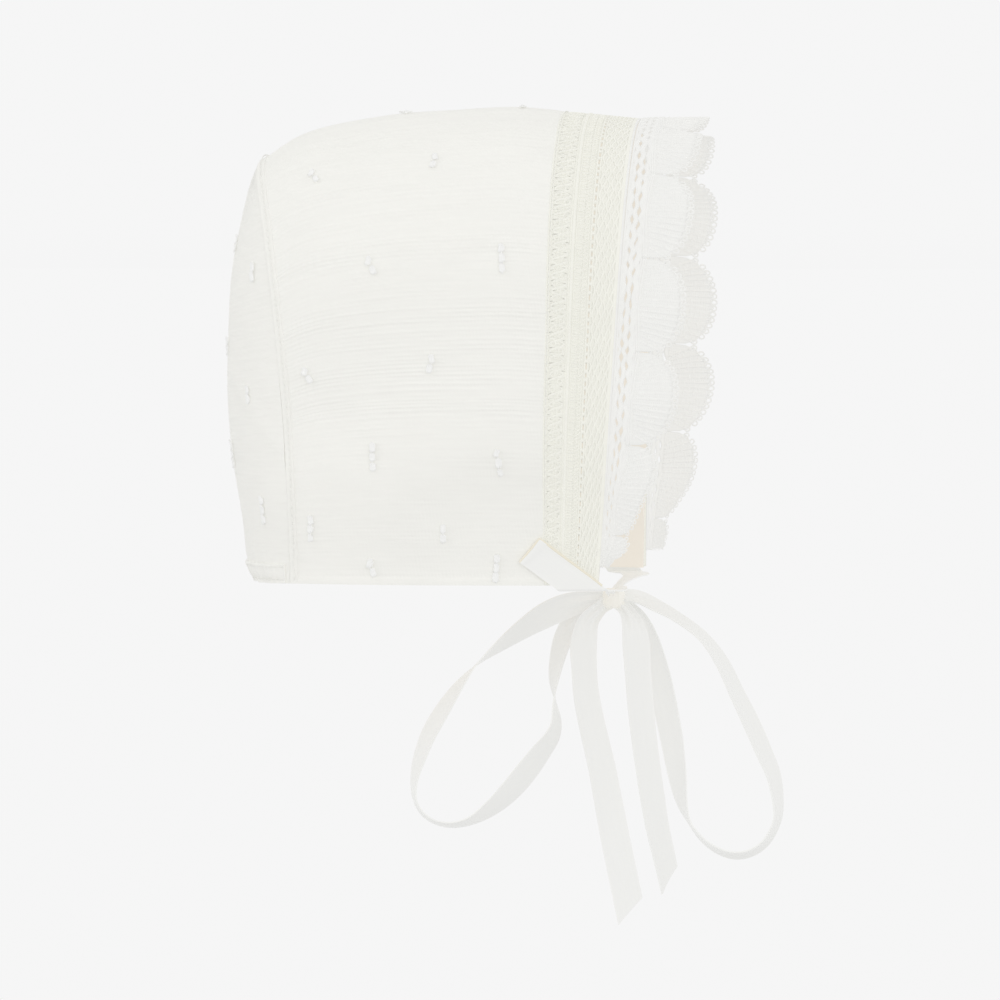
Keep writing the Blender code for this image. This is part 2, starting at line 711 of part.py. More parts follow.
def main():
    for obj in list(bpy.data.objects):
        bpy.data.objects.remove(obj, do_unlink=True)
    make_lining()
    make_back_lining()
    make_crown_panel()
    make_lace_band()
    make_back_panel()
    make_back_seam()
    make_nape_casing()
    make_lace_ruffle()
    for tie in TIES:
        make_tie(tie)
    make_knot()
    make_bow_strand("bow_loop_back", LOOP_BACK)
    make_bow_strand("bow_loop_front", LOOP_FRONT)
    make_bow_strand("bow_tail_back", TAIL_BACK, TAIL_CUT)
    make_bow_strand("bow_tail_front", TAIL_FRONT, TAIL_CUT)


main()
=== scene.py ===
"""The looks of a baby bonnet: dotted gauze, cream lining, lace band, lace ruffle and ribbons tied in a bow.

Metres, +Z up. The face opening looks along +X and the wearer's left is +Y.
Every piece lies in its solid's place.
"""

import math
from collections import namedtuple

import bpy
import numpy as np
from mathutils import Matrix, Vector


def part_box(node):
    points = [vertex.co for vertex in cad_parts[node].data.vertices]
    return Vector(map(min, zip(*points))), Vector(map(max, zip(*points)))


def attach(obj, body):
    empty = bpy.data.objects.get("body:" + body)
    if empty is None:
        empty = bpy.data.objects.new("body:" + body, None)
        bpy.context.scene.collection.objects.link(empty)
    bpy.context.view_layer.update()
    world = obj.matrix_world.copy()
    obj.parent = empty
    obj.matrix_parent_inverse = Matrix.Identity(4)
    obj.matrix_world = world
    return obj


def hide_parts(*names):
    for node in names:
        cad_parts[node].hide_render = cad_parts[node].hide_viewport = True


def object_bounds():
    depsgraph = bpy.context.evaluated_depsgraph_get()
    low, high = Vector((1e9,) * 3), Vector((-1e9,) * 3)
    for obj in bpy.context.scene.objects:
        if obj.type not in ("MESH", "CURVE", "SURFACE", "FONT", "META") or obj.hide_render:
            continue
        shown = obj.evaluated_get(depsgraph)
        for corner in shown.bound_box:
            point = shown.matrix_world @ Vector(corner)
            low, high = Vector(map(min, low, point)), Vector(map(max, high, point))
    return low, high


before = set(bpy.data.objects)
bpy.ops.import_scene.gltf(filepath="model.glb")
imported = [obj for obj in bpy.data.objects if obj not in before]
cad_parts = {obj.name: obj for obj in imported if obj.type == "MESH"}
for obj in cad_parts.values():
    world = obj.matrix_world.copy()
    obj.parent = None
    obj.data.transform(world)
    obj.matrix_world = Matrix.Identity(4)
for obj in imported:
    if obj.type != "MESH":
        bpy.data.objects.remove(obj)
CAD_BOX = [list(corner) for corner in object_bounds()]

bl_info = {
    "name": "Baby Bonnet",
    "version": (1, 0, 0),
    "blender": (4, 5, 0),
    "location": "3D View > Sidebar > Bonnet",
    "description": "Makes a baby bonnet's gauze, lining, lace and ribbons, piece by piece, and its studio",
    "category": "Object",
}

# Main form
HALF_WIDTH = 0.055  # centre plane to the lining's outer face at the ears
CROWN_HEIGHT = 0.1575
CROWN_TOP = 0.001  # height of the lining's outer face at its highest point
HEM = CROWN_TOP - CROWN_HEIGHT
FRONT_X = 0.054  # front edge at the top of the head
RIGHT_SLANT = 0.0105  # how much further back the right front edge is at the hem
LEFT_SLANT = 0.0010
SEAM_X = -0.058  # back seam at the hem
SEAM_LEAN = 0.0152  # how much further back the seam is at the top of the head
ARCH_SHARE = 0.42  # share of the height from the top to the widest level
ARCH_POWER = 2.2
BACK_DEPTH = 0.024
BACK_ARC = 78.0  # half of the back panel's turn from side to side, in degrees

# Layers, as heights over the lining's outer face
LAYER_GAP = 0.0003
LAYER = 0.001
OUTER = LAYER_GAP + LAYER
TRIM = OUTER + LAYER_GAP

# Trim
BAND_WIDTH = 0.025
BAND_SHARE = 0.67
SEAM_WIDTH = 0.0026
CASING_HEIGHT = 0.0065
GATHER_COUNT = 9
GATHER_DEPTH = 0.0009
STITCH_PITCH = 0.0024
BAND_STITCH_PITCH = 0.0026

# Lace ruffle
FAN_PITCH = 0.031
RUFFLE_FANS = 5.875  # fans from the middle of the top one to each end
NET_WIDTH = 0.0085
FAN_REACH = 0.0145
NOTCH_REACH = 0.0035
FAN_POWER = 2.3
HEADING_WIDTH = 0.0015
FAN_HALF = 0.93  # phase of a fan's last rib
WEB_HALF = 0.985  # phase of the edges of the mesh between a fan's ribs
FAN_BASE_SPREAD = 0.74  # width of a fan's base, as a share of its whole width
FLARE_DEGREES = 56.0
FLARE_AT_TOP = 0.12
RUFFLE_WAVE = 0.0022

# Ribbons
RIBBON_WIDTH = 0.010
KNOT_SIZE = 0.0066
TIE_UNDER = 0.0015
TIE_DROOP = 0.0009  # how far a tie hangs below the hem before it turns under
BOW_SIZE = 0.100
KNOT_PINCH = 0.5
TAIL_CUT = 0.75

BACK_START = 0.04
BACK_TURN = 0.985  # the back's side edges, as a share of the way from its middle to the seam
NAPE_DRAWN = 0.0038  # how far the gathered hem of the back is drawn in
BACK_GAUZE_TURN = 0.9995  # the same for the gauze, whose edges lie under the seam's fold
CASING_TURN = 0.955

Station = namedtuple("Station", "along top_drop half_width tuck_start tuck")
# From the front edge (0) to the back seam (1), in shares of the crown's height, half width and drop.
STATIONS = (
    Station(0.00, 0.0235, 0.95, 0.58, 0.20),
    Station(0.10, 0.0155, 0.97, 0.60, 0.19),
    Station(0.21, 0.0080, 0.99, 0.62, 0.18),
    Station(0.32, 0.0000, 1.00, 0.64, 0.17),
    Station(0.48, 0.0050, 1.00, 0.68, 0.15),
    Station(0.64, 0.0140, 0.99, 0.70, 0.13),
    Station(0.82, 0.0390, 0.95, 0.72, 0.11),
    Station(0.91, 0.0640, 0.91, 0.72, 0.10),
    Station(1.00, 0.1120, 0.87, 0.72, 0.09),
)

Back = namedtuple("Back", "around lean bulge sag")
# From the top of the back seam (0) down to the hem (1), in shares of SEAM_LEAN and BACK_DEPTH.
BACKS = (
    Back(0.00, 1.00, 0.00, 0.00),
    Back(0.06, 0.98, 0.04, 0.04),
    Back(0.13, 0.93, 0.16, 0.13),
    Back(0.21, 0.78, 0.36, 0.21),
    Back(0.29, 0.61, 0.57, 0.25),
    Back(0.38, 0.45, 0.76, 0.25),
    Back(0.46, 0.33, 0.87, 0.21),
    Back(0.62, 0.16, 1.00, 0.12),
    Back(0.76, 0.05, 0.99, 0.06),
    Back(0.90, 0.01, 0.86, 0.02),
    Back(1.00, 0.00, 0.79, 0.00),
)

Dent = namedtuple("Dent", "side around along spread_around spread_along depth")
# Soft dents and folds of the crown. side is -1 right, 1 left; depth is a share of the half width, inward.
DENTS = (
    Dent(-1, 0.66, 0.80, 0.10, 0.22, 0.030),
    Dent(-1, 0.84, 0.30, 0.07, 0.30, 0.024),
    Dent(-1, 0.42, 0.42, 0.12, 0.24, -0.014),
    Dent(1, 0.70, 0.62, 0.10, 0.26, 0.028),
    Dent(1, 0.86, 0.26, 0.08, 0.26, 0.022),
    Dent(1, 0.40, 0.35, 0.12, 0.24, -0.012),
)

Crease = namedtuple("Crease", "side around behind to_around to_behind width height")
# Narrow folds of the crown's gauze, from one place to another. behind is in metres behind the front edge.
CREASES = (
    Crease(-1, 0.76, 0.058, 0.99, 0.061, 0.0016, 0.00034),
    Crease(-1, 0.78, 0.0605, 0.99, 0.0640, 0.0020, -0.00028),
    Crease(-1, 0.60, 0.104, 0.76, 0.078, 0.0050, -0.00040),
    Crease(1, 0.78, 0.055, 0.99, 0.058, 0.0016, 0.00034),
    Crease(1, 0.80, 0.0578, 0.99, 0.0610, 0.0020, -0.00026),
)

LINING_FOLDS = (
    Crease(1, 0.945, 0.026, 0.885, -0.004, 0.0036, 0.0026),
    Crease(1, 0.660, 0.020, 0.700, -0.004, 0.0040, 0.0007),
    Crease(-1, 0.800, 0.030, 0.860, -0.004, 0.0036, 0.0008),
)

Narrowing = namedtuple("Narrowing", "around right left")
# The ruffle's width on each side, as a share of its whole width, from the top (0) to the hem (1).
NARROWINGS = (
    Narrowing(0.00, 1.00, 1.00),
    Narrowing(0.62, 1.00, 1.00),
    Narrowing(0.72, 0.93, 0.90),
    Narrowing(0.78, 0.80, 0.80),
    Narrowing(0.83, 0.62, 0.68),
    Narrowing(0.87, 0.56, 0.56),
    Narrowing(0.91, 0.56, 0.46),
    Narrowing(0.935, 0.42, 0.38),
    Narrowing(0.955, 0.22, 0.32),
    Narrowing(1.00, 0.10, 0.28),
)

DotRow = namedtuple("DotRow", "around forward")
# Rows of raised dots. On the crown, around runs from the right hem over the top, and forward shifts a row
# towards the face. On the back, around runs from its top (0) to the hem (1), and forward shifts a row to
# the left. Both shifts are in metres.
DOT_PITCH = 0.0425
DOT_X = 0.0125  # a dot of a row that isn't shifted, in front of the origin
DOT_LIMIT = 0.93  # the furthest dot on the back, as a share of its half width
CROWN_DOTS = (
    DotRow(-0.985, 0.0),
    DotRow(-0.905, DOT_PITCH / 2),
    DotRow(-0.770, 0.0),
    DotRow(-0.610, DOT_PITCH / 2),
    DotRow(-0.425, 0.0),
    DotRow(-0.230, DOT_PITCH / 2),
    DotRow(-0.030, 0.0041),
    DotRow(0.165, DOT_PITCH / 2),
    DotRow(0.350, 0.0),
    DotRow(0.535, DOT_PITCH / 2),
    DotRow(0.705, 0.0),
    DotRow(0.860, DOT_PITCH / 2),
)
BACK_DOTS = (
    DotRow(0.29, DOT_PITCH / 2),
    DotRow(0.372, 0.0012),
    DotRow(0.51, DOT_PITCH / 2),
    DotRow(0.617, 0.0029),
    DotRow(0.74, DOT_PITCH / 2),
    DotRow(0.852, 0.0017),
)

Tie = namedtuple("Tie", "name node side start_behind start_above hem_behind")
TIES = (
    Tie("right_tie", "tie_right", -1, 0.0225, 0.0120, 0.0065),
    Tie("left_tie", "tie_left", 1, 0.0190, 0.0150, 0.0082),
)

Turn = namedtuple("Turn", "ahead left up face pinch", defaults=(1.0,))
# The bow's routes, from the knot's centre, in shares of BOW_SIZE. face is the angle in degrees by which the
# ribbon is turned from facing sideways (0) to edge-on (90); pinch is the share of its full width.
LOOP_BACK = (
    Turn(-0.045, 0.010, 0.000, 12, 0.50),
    Turn(-0.140, 0.004, -0.020, 18, 0.85),
    Turn(-0.222, 0.000, -0.054, 30),
    Turn(-0.305, 0.000, -0.104, 48),
    Turn(-0.388, 0.000, -0.164, 68),
    Turn(-0.470, 0.000, -0.232, 90),
    Turn(-0.533, 0.000, -0.306, 110),
    Turn(-0.588, 0.000, -0.388, 122),
    Turn(-0.635, 0.000, -0.470, 124),
    Turn(-0.667, 0.000, -0.552, 119),
    Turn(-0.686, 0.000, -0.625, 110),
    Turn(-0.686, 0.002, -0.690, 105),
    Turn(-0.662, 0.005, -0.742, 106),
    Turn(-0.615, 0.008, -0.776, 106),
    Turn(-0.553, 0.010, -0.786, 107),
    Turn(-0.488, 0.012, -0.770, 110),
    Turn(-0.424, 0.014, -0.730, 122),
    Turn(-0.362, 0.016, -0.674, 133),
    Turn(-0.306, 0.020, -0.608, 137),
    Turn(-0.252, 0.026, -0.536, 130),
    Turn(-0.212, 0.034, -0.480, 118),
    Turn(-0.198, 0.042, -0.430, 104),
    Turn(-0.204, 0.050, -0.366, 90),
    Turn(-0.208, 0.056, -0.290, 68),
    Turn(-0.196, 0.058, -0.212, 56),
    Turn(-0.174, 0.056, -0.140, 46, 0.95),
    Turn(-0.130, 0.044, -0.070, 30, 0.75),
    Turn(-0.066, 0.030, -0.034, 14, 0.50),
)
LOOP_FRONT = (
    Turn(0.045, -0.004, 0.004, 44, 0.5),
    Turn(0.085, -0.002, -0.002, 58, 0.70),
    Turn(0.141, 0.000, -0.026, 70, 0.95),
    Turn(0.212, 0.000, -0.064, 76),
    Turn(0.301, 0.000, -0.130, 76),
    Turn(0.366, 0.000, -0.217, 69),
    Turn(0.418, 0.000, -0.324, 65),
    Turn(0.466, 0.000, -0.422, 61),
    Turn(0.510, 0.000, -0.522, 62),
    Turn(0.542, 0.000, -0.600, 66),
    Turn(0.556, 0.002, -0.680, 72),
    Turn(0.555, 0.005, -0.748, 76),
    Turn(0.523, 0.008, -0.818, 74),
    Turn(0.474, 0.012, -0.860, 71),
    Turn(0.414, 0.016, -0.874, 69),
    Turn(0.354, 0.020, -0.858, 71),
    Turn(0.300, 0.026, -0.820, 75),
    Turn(0.258, 0.034, -0.764, 78),
    Turn(0.230, 0.044, -0.690, 62),
    Turn(0.212, 0.052, -0.590, 46),
    Turn(0.194, 0.058, -0.480, 36),
    Turn(0.172, 0.060, -0.370, 32),
    Turn(0.148, 0.058, -0.260, 34),
    Turn(0.122, 0.052, -0.160, 38, 0.95),
    Turn(0.092, 0.044, -0.086, 30, 0.75),
    Turn(0.058, 0.030, -0.038, 14, 0.5),
)
TAIL_BACK = (
    Turn(-0.048, -0.024, -0.034, 10, 0.5),
    Turn(-0.086, -0.040, -0.080, 20, 0.75),
    Turn(-0.100, -0.046, -0.150, 32),
    Turn(-0.098, -0.046, -0.240, 38),
    Turn(-0.092, -0.044, -0.320, 36),
    Turn(-0.078, -0.042, -0.400, 34),
    Turn(-0.060, -0.040, -0.480, 32),
    Turn(-0.037, -0.038, -0.580, 29),
    Turn(-0.014, -0.036, -0.700, 22),
    Turn(0.009, -0.034, -0.820, 13),
    Turn(0.034, -0.032, -0.940, 8),
    Turn(0.060, -0.030, -1.066, 8),
)
TAIL_FRONT = (
    Turn(0.044, -0.032, -0.040, 10, 0.50),
    Turn(0.066, -0.044, -0.086, 20, 0.75),
    Turn(0.078, -0.046, -0.150, 30),
    Turn(0.084, -0.048, -0.240, 34),
    Turn(0.092, -0.048, -0.340, 34),
    Turn(0.102, -0.046, -0.440, 36),
    Turn(0.116, -0.044, -0.550, 38),
    Turn(0.132, -0.042, -0.660, 40),
    Turn(0.152, -0.040, -0.780, 44),
    Turn(0.176, -0.038, -0.886, 48),
    Turn(0.192, -0.038, -0.958, 50),
)

Strand = namedtuple("Strand", "name node turns cut")
STRANDS = (
    Strand("back_loop", "bow_loop_back", LOOP_BACK, 0.0),
    Strand("front_loop", "bow_loop_front", LOOP_FRONT, 0.0),
    Strand("back_tail", "bow_tail_back", TAIL_BACK, TAIL_CUT),
    Strand("front_tail", "bow_tail_front", TAIL_FRONT, TAIL_CUT),
)

# Camera, lights and floor
CAMERA_AZIMUTH = 6.0
CAMERA_ELEVATION = 3.3
CAMERA_DISTANCE = 1.6
CAMERA_LENS = 169.4
CAMERA_TARGET = (0.0071, 0.0, -0.1309)
KEY_PLACE = (0.75, -1.7, 0.20)
FILL_PLACE = (-1.6, -0.9, 0.30)
FILL_SHARE = 0.55  # power of the fill light, as a share of the key light's
FLOOR_HALF = 40.0

LADDER = (0.354, 0.384)  # the slot under the ladder, as shares of the band's width from the front edge
PICOT = 0.00095  # radius of the loops at the lace's edge
PAINTED_GLOW_LEVEL = 0.93  # brightness of the painted glow, as a share of the cloth's colour; the glow stands in for light shining from behind the cloth
GAUZE_SINK = 0.00022  # how far the gauze lies under its solid's face between the slubs
GAUZE_INNER = LAYER_GAP + 0.0002  # height of the gauze's inner face
LINING_DEPTH = 0.00055  # thickness of the lining where it is smooth
LINING_OUTER = -0.00005  # height of the lining's outer face
LATTICE = 128  # cells each way before the random drift repeats
CLOTH_MAP = "cloth"


# Curves and random drift


def ease(share):
    """0 below 0, 1 above 1, and an S-curve between."""
    share = np.clip(share, 0.0, 1.0)
    return share * share * (3 - 2 * share)


def mix(low, high, share):
    return low + (high - low) * share


def unit(vectors):
    return vectors / np.maximum(np.linalg.norm(vectors, axis=-1, keepdims=True), 1e-12)


def hump(at, middle, spread):
    """1 at the middle, falling softly to 0 on both sides."""
    return np.exp(-(((at - middle) / spread) ** 2))


def lengths(line):
    """How far along a line of points each one lies."""
    return np.concatenate([[0.0], np.cumsum(np.linalg.norm(np.diff(line, axis=0), axis=1))])


def table_curve(rows, position, wanted):
    """A smooth curve that meets one column of a table at each row, against another."""
    places = np.array([getattr(row, position) for row in rows], float)
    values = np.array([getattr(row, wanted) for row in rows], float)
    order = np.arange(len(rows))
    low, high = np.maximum(order - 1, 0), np.minimum(order + 1, len(rows) - 1)
    slopes = (values[high] - values[low]) / (places[high] - places[low])

    def read(at):
        at = np.clip(at, places[0], places[-1])
        i = np.clip(np.searchsorted(places, at, side="right") - 1, 0, len(rows) - 2)
        step = places[i + 1] - places[i]
        u = (at - places[i]) / step
        return (
            values[i] * (1 + 2 * u) * (1 - u) ** 2
            + values[i + 1] * u * u * (3 - 2 * u)
            + slopes[i] * step * u * (1 - u) ** 2
            - slopes[i + 1] * step * u * u * (1 - u)
        )

    return read


def drift(seed, u, v=0.0):
    """Smooth random values from -1 to 1. u and v count the cells of a lattice."""
    u, v = np.broadcast_arrays(np.asarray(u, float), np.asarray(v, float))
    lattice = np.random.default_rng(seed).uniform(-1.0, 1.0, (LATTICE, LATTICE))
    i, j = np.floor(u).astype(int), np.floor(v).astype(int)
    s, t = ease(u - i), ease(v - j)
    near = mix(lattice[i % LATTICE, j % LATTICE], lattice[(i + 1) % LATTICE, j % LATTICE], s)
    far = mix(lattice[i % LATTICE, (j + 1) % LATTICE], lattice[(i + 1) % LATTICE, (j + 1) % LATTICE], s)
    return mix(near, far, t)


# The bonnet's form


def half_section(fine=300):
    """The crown's half section down to the hem: shares of width and drop, and length from the top."""
    angle = np.linspace(0.0, math.pi / 2, fine + 1)
    across = np.sin(angle) ** (2 / ARCH_POWER)
    drop = ARCH_SHARE * (1 - np.clip(np.cos(angle), 0.0, None) ** (2 / ARCH_POWER))
    straight = np.linspace(ARCH_SHARE, 1.0, fine + 1)[1:]
    across = np.concatenate([across, np.ones(fine)])
    drop = np.concatenate([drop, straight])
    steps = np.hypot(np.diff(across) * HALF_WIDTH, np.diff(drop) * CROWN_HEIGHT)
    return across, drop, np.concatenate([[0.0], np.cumsum(steps)])


SECTION_WIDTH, SECTION_DROP, SECTION_LENGTH = half_section()
FRONT_LENGTH = SECTION_LENGTH[-1]  # from the top of the front edge to its hem

TOP_DROP = table_curve(STATIONS, "along", "top_drop")
HALF_SHARE = table_curve(STATIONS, "along", "half_width")
TUCK_START = table_curve(STATIONS, "along", "tuck_start")
TUCK = table_curve(STATIONS, "along", "tuck")
LEAN = table_curve(BACKS, "around", "lean")
BULGE = table_curve(BACKS, "around", "bulge")
SAG = table_curve(BACKS, "around", "sag")
RIGHT_NARROWING = table_curve(NARROWINGS, "around", "right")
LEFT_NARROWING = table_curve(NARROWINGS, "around", "left")


def front_x(around):
    slant = np.where(np.asarray(around) < 0, RIGHT_SLANT, LEFT_SLANT)
    return FRONT_X - slant * np.abs(around) ** 1.5


def depth_at(around):
    """Front edge to back seam."""
    return front_x(around) - (SEAM_X - SEAM_LEAN * LEAN(np.abs(around)))


def band_width(around):
    return BAND_WIDTH - BAND_SHARE * (FRONT_X - front_x(around))


def crown(around, along):
    """The base surface: around from the right hem (-1) to the left (1), along from the front to the seam."""
    around, along = np.broadcast_arrays(np.asarray(around, float), np.asarray(along, float))
    side, share = np.where(around < 0, -1.0, 1.0), np.clip(np.abs(around), 0.0, 1.0)
    across = np.interp(share * FRONT_LENGTH, SECTION_LENGTH, SECTION_WIDTH)
    drop = np.interp(share * FRONT_LENGTH, SECTION_LENGTH, SECTION_DROP)
    top = CROWN_TOP - CROWN_HEIGHT * TOP_DROP(along)
    start = TUCK_START(along)
    inward = TUCK(along) * ease((drop - start) / (1 - start)) ** 1.2
    for dent in DENTS:
        down_dent = (share - dent.around) / dent.spread_around
        along_dent = (along - dent.along) / dent.spread_along
        away = down_dent**2 + along_dent**2
        inward = inward + np.where(side == dent.side, dent.depth, 0.0) * np.exp(-away)
    width = HALF_WIDTH * HALF_SHARE(along) * across * (1 - inward)
    x = front_x(around) - depth_at(around) * along
    return np.stack([x, side * width, mix(top, HEM, drop)], -1)


def crown_out(around, along, step=0.004):
    """The crown's outward direction."""
    along = np.clip(along, 0.0, 1.0)
    a = crown(np.minimum(1.0, around + step), along) - crown(np.maximum(-1.0, around - step), along)
    b = crown(around, np.minimum(1.0, along + step)) - crown(around, np.maximum(0.0, along - step))
    return unit(np.cross(a, b))


def over_crown(around, along, height):
    """A place over the crown, at a height over the lining's outer face."""
    around, along, height = np.broadcast_arrays(np.asarray(around, float), along, height)
    return crown(around, along) + crown_out(around, along) * height[..., None]


def back(share, swing):
    """The back panel's base: share from its top (0) to the hem (1), swing from the right seam (-1) on."""
    share, swing = np.broadcast_arrays(np.asarray(share, float), np.asarray(swing, float))
    seam = crown(np.abs(share), 1.0)
    arc = math.radians(BACK_ARC)
    middle = (np.cos(arc * swing) - math.cos(arc)) / (1 - math.cos(arc))
    drawn = NAPE_DRAWN * ease((share - 0.945) / 0.075) * middle
    x = seam[..., 0] - BACK_DEPTH * BULGE(share) * middle + drawn
    y = np.abs(seam[..., 1]) * np.sin(arc * swing) / math.sin(arc)
    return np.stack([x, y, seam[..., 2] - BACK_DEPTH * SAG(share) * middle], -1)


def back_out(share, swing, step=0.01):
    share, swing = np.maximum(0.02, share), np.clip(swing, -0.99, 0.99)
    a = back(share, swing + step) - back(share, swing - step)
    b = back(np.minimum(1.0, share + step), swing) - back(share - step, swing)
    return unit(np.cross(a, b))


def over_back(share, swing, height):
    share, swing, height = np.broadcast_arrays(np.asarray(share, float), swing, height)
    return back(share, swing) + back_out(share, swing) * height[..., None]


def seam_length():
    line = crown(np.linspace(0.0, 1.0, 100), 1.0)
    return float(np.linalg.norm(np.diff(line, axis=0), axis=1).sum())


SEAM_LENGTH = seam_length()


def fan_reach(phase):
    """The lace's reach past the net, from a fan's middle (0) to its notches (-1 and 1)."""
    rise = np.clip(1 - np.abs(phase) ** FAN_POWER, 0.0, None) ** (1 / FAN_POWER)
    return mix(NOTCH_REACH, FAN_REACH, rise)


def narrowing(fan):
    """How the lace's width tapers towards both ends, as a share of its whole width."""
    share = np.clip(np.abs(fan) * FAN_PITCH / FRONT_LENGTH, 0.0, 1.0)
    return np.where(fan < 0, RIGHT_NARROWING(share), LEFT_NARROWING(share))


def over_ruffle(fan, across, lift=0.0):
    """A place on the ruffle: fans from the top one, length from the heading, and height over its face."""
    fan, across, lift = np.broadcast_arrays(np.asarray(fan, float), across, lift)
    around = np.clip(fan * FAN_PITCH / FRONT_LENGTH, -1.0, 1.0)
    share = np.abs(around)
    phase = 2 * ((fan + 0.5) % 1) - 1
    across = across * narrowing(fan)
    out = crown_out(around, 0.0 * around)
    ahead = unit(crown(around, 0.0) - crown(around, 0.02))
    steep = math.radians(FLARE_DEGREES) * mix(FLARE_AT_TOP, 1.0, ease(share / 0.55))
    net = np.minimum(across, NET_WIDTH)
    middle, tip = steep * (1 - 0.5 * net / NET_WIDTH), steep * 0.08
    rise = net * np.sin(middle) + (across - net) * np.sin(tip)
    forward = net * np.cos(middle) + (across - net) * np.cos(tip)
    wave = RUFFLE_WAVE * np.cos(math.pi * phase) * (across / (NET_WIDTH + FAN_REACH))
    lean = np.where(across < NET_WIDTH, steep * (1 - net / NET_WIDTH), tip)
    start = crown(around, 0.0) + out * (LAYER_GAP + LAYER) + ahead * LAYER_GAP
    forward = forward - lift * np.sin(lean)
    rise = rise + wave + lift * np.cos(lean)
    return start + ahead * forward[..., None] + out * rise[..., None]


# Meshes


def grid_quads(rows, columns):
    start = (np.arange(rows - 1)[:, None] * columns + np.arange(columns - 1)).ravel()
    return np.stack([start, start + columns, start + columns + 1, start + 1], 1)


class Shape:
    """Points and faces gathered for one mesh, each point with a place on the flat cloth, in metres."""

    def __init__(self):
        self.points, self.places, self.faces, self.count = [], [], [], 0

    def add(self, points, places, *face_sets):
        self.points.append(points.reshape(-1, 3))
        self.places.append(np.broadcast_to(places, points.shape[:-1] + (2,)).reshape(-1, 2))
        for faces in face_sets:
            self.faces.extend((faces + self.count).tolist())
        self.count += len(self.points[-1])

    def sheet(self, outer, inner, places):
        """A closed sheet of cloth between two grids of points."""
        rows, columns = outer.shape[:2]
        size = rows * columns
        quads = grid_quads(rows, columns)
        index = np.arange(size).reshape(rows, columns)
        border = np.concatenate([index[:-1, 0], index[-1, :-1], index[:0:-1, -1], index[0, :0:-1]])
        after = np.roll(border, -1)
        rim = np.stack([after, border, border + size, after + size], 1)
        faces = np.concatenate([quads, quads[:, ::-1] + size, rim])
        flat = outer.reshape(-1, 3)
        facing = np.cross(flat[quads[:, 1]] - flat[quads[:, 0]], flat[quads[:, 3]] - flat[quads[:, 0]])
        if (facing * (outer - inner).reshape(-1, 3)[quads[:, 0]]).sum() < 0:
            faces = faces[:, ::-1]
        self.add(np.stack([outer, inner]), np.stack([places, places]), faces)

    def threads(self, routes, radius, sides=5, out=None, flat=1.0, ring=False):
        """Round or flattened threads along routes of one length, with closed ends or as closed rings."""
        routes = np.asarray(routes, float)
        if ring:
            ahead = unit(np.roll(routes, -1, axis=1) - np.roll(routes, 1, axis=1))
        else:
            ahead = unit(np.gradient(routes, axis=1))
        side = self.sideways(ahead) if out is None else unit(np.cross(out, ahead))
        up = np.cross(ahead, side)
        many, steps = routes.shape[:2]
        angle = 2 * math.pi * np.arange(sides) / sides
        wide = np.broadcast_to(np.asarray(radius, float), (many, steps))[..., None, None]
        turn_side = np.cos(angle)[:, None] * side[:, :, None]
        turn_up = flat * np.sin(angle)[:, None] * up[:, :, None]
        points = routes[:, :, None] + wide * (turn_side + turn_up)
        index = np.arange(many * steps * sides).reshape(many, steps, sides)
        beside = np.roll(index, -1, axis=2)
        if ring:
            ahead_index, ahead_beside = np.roll(index, -1, axis=1), np.roll(beside, -1, axis=1)
        else:
            ahead_index, ahead_beside = index[:, 1:], beside[:, 1:]
            index, beside = index[:, :-1], beside[:, :-1]
        quads = np.stack([index, beside, ahead_beside, ahead_index], -1).reshape(-1, 4)
        gaps = np.linalg.norm(np.diff(routes, axis=1), axis=-1)
        walked = np.concatenate([np.zeros((many, 1)), np.cumsum(gaps, axis=1)], axis=1)
        places = np.stack(np.broadcast_arrays(walked[..., None], angle * np.max(radius)), -1)
        if ring:
            self.add(points, places, quads)
        else:
            self.add(points, places, quads, index[:, 0, ::-1], ahead_index[:, -1])

    @staticmethod
    def sideways(ahead):
        """Directions across threads that don't twist along them."""
        first = ahead[:, 0]
        axis = np.eye(3)[np.argmin(np.abs(first), axis=1)]
        side = [unit(np.cross(first, axis))]
        for i in range(1, ahead.shape[1]):
            along = (side[-1] * ahead[:, i]).sum(-1, keepdims=True)
            side.append(unit(side[-1] - ahead[:, i] * along))
        return np.stack(side, axis=1)

    def make(self, name, finish, sharp=None):
        mesh = bpy.data.meshes.new(name)
        mesh.from_pydata(np.concatenate(self.points), [], self.faces)
        corners = np.zeros(len(mesh.loops), np.int32)
        mesh.loops.foreach_get("vertex_index", corners)
        layer = mesh.uv_layers.new(name=CLOTH_MAP)
        layer.data.foreach_set("uv", np.concatenate(self.places)[corners].astype(np.float32).ravel())
        mesh.materials.append(finish)
        mesh.shade_smooth()
        if sharp:
            mesh.set_sharp_from_angle(angle=math.radians(sharp))
        piece = bpy.data.objects.new(name, mesh)
        bpy.context.scene.collection.objects.link(piece)
        return piece


def flat_size(points):
    """Mean width and length of a grid of points: across its columns and down its rows."""
    across = np.linalg.norm(np.diff(points, axis=1), axis=-1).sum(axis=1).mean()
    down = np.linalg.norm(np.diff(points, axis=0), axis=-1).sum(axis=0).mean()
    return tuple(sorted((round(float(across), 4), round(float(down), 4))))


def dress(piece, slot, *nodes):
    """Fixes a piece to the bonnet, in the place of its solids."""
    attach(piece, "root")
    if nodes:
        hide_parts(*nodes)
    return piece


def cloth_piece(name, node, slot, finish, outer, inner, walked, beside, sharp=60):
    """A piece that is one closed sheet, in the place of its solid."""
    shape = Shape()
    shape.sheet(outer, inner, np.stack(np.broadcast_arrays(walked, beside), -1))
    return dress(shape.make(name, finish, sharp), slot, node)


# Materials


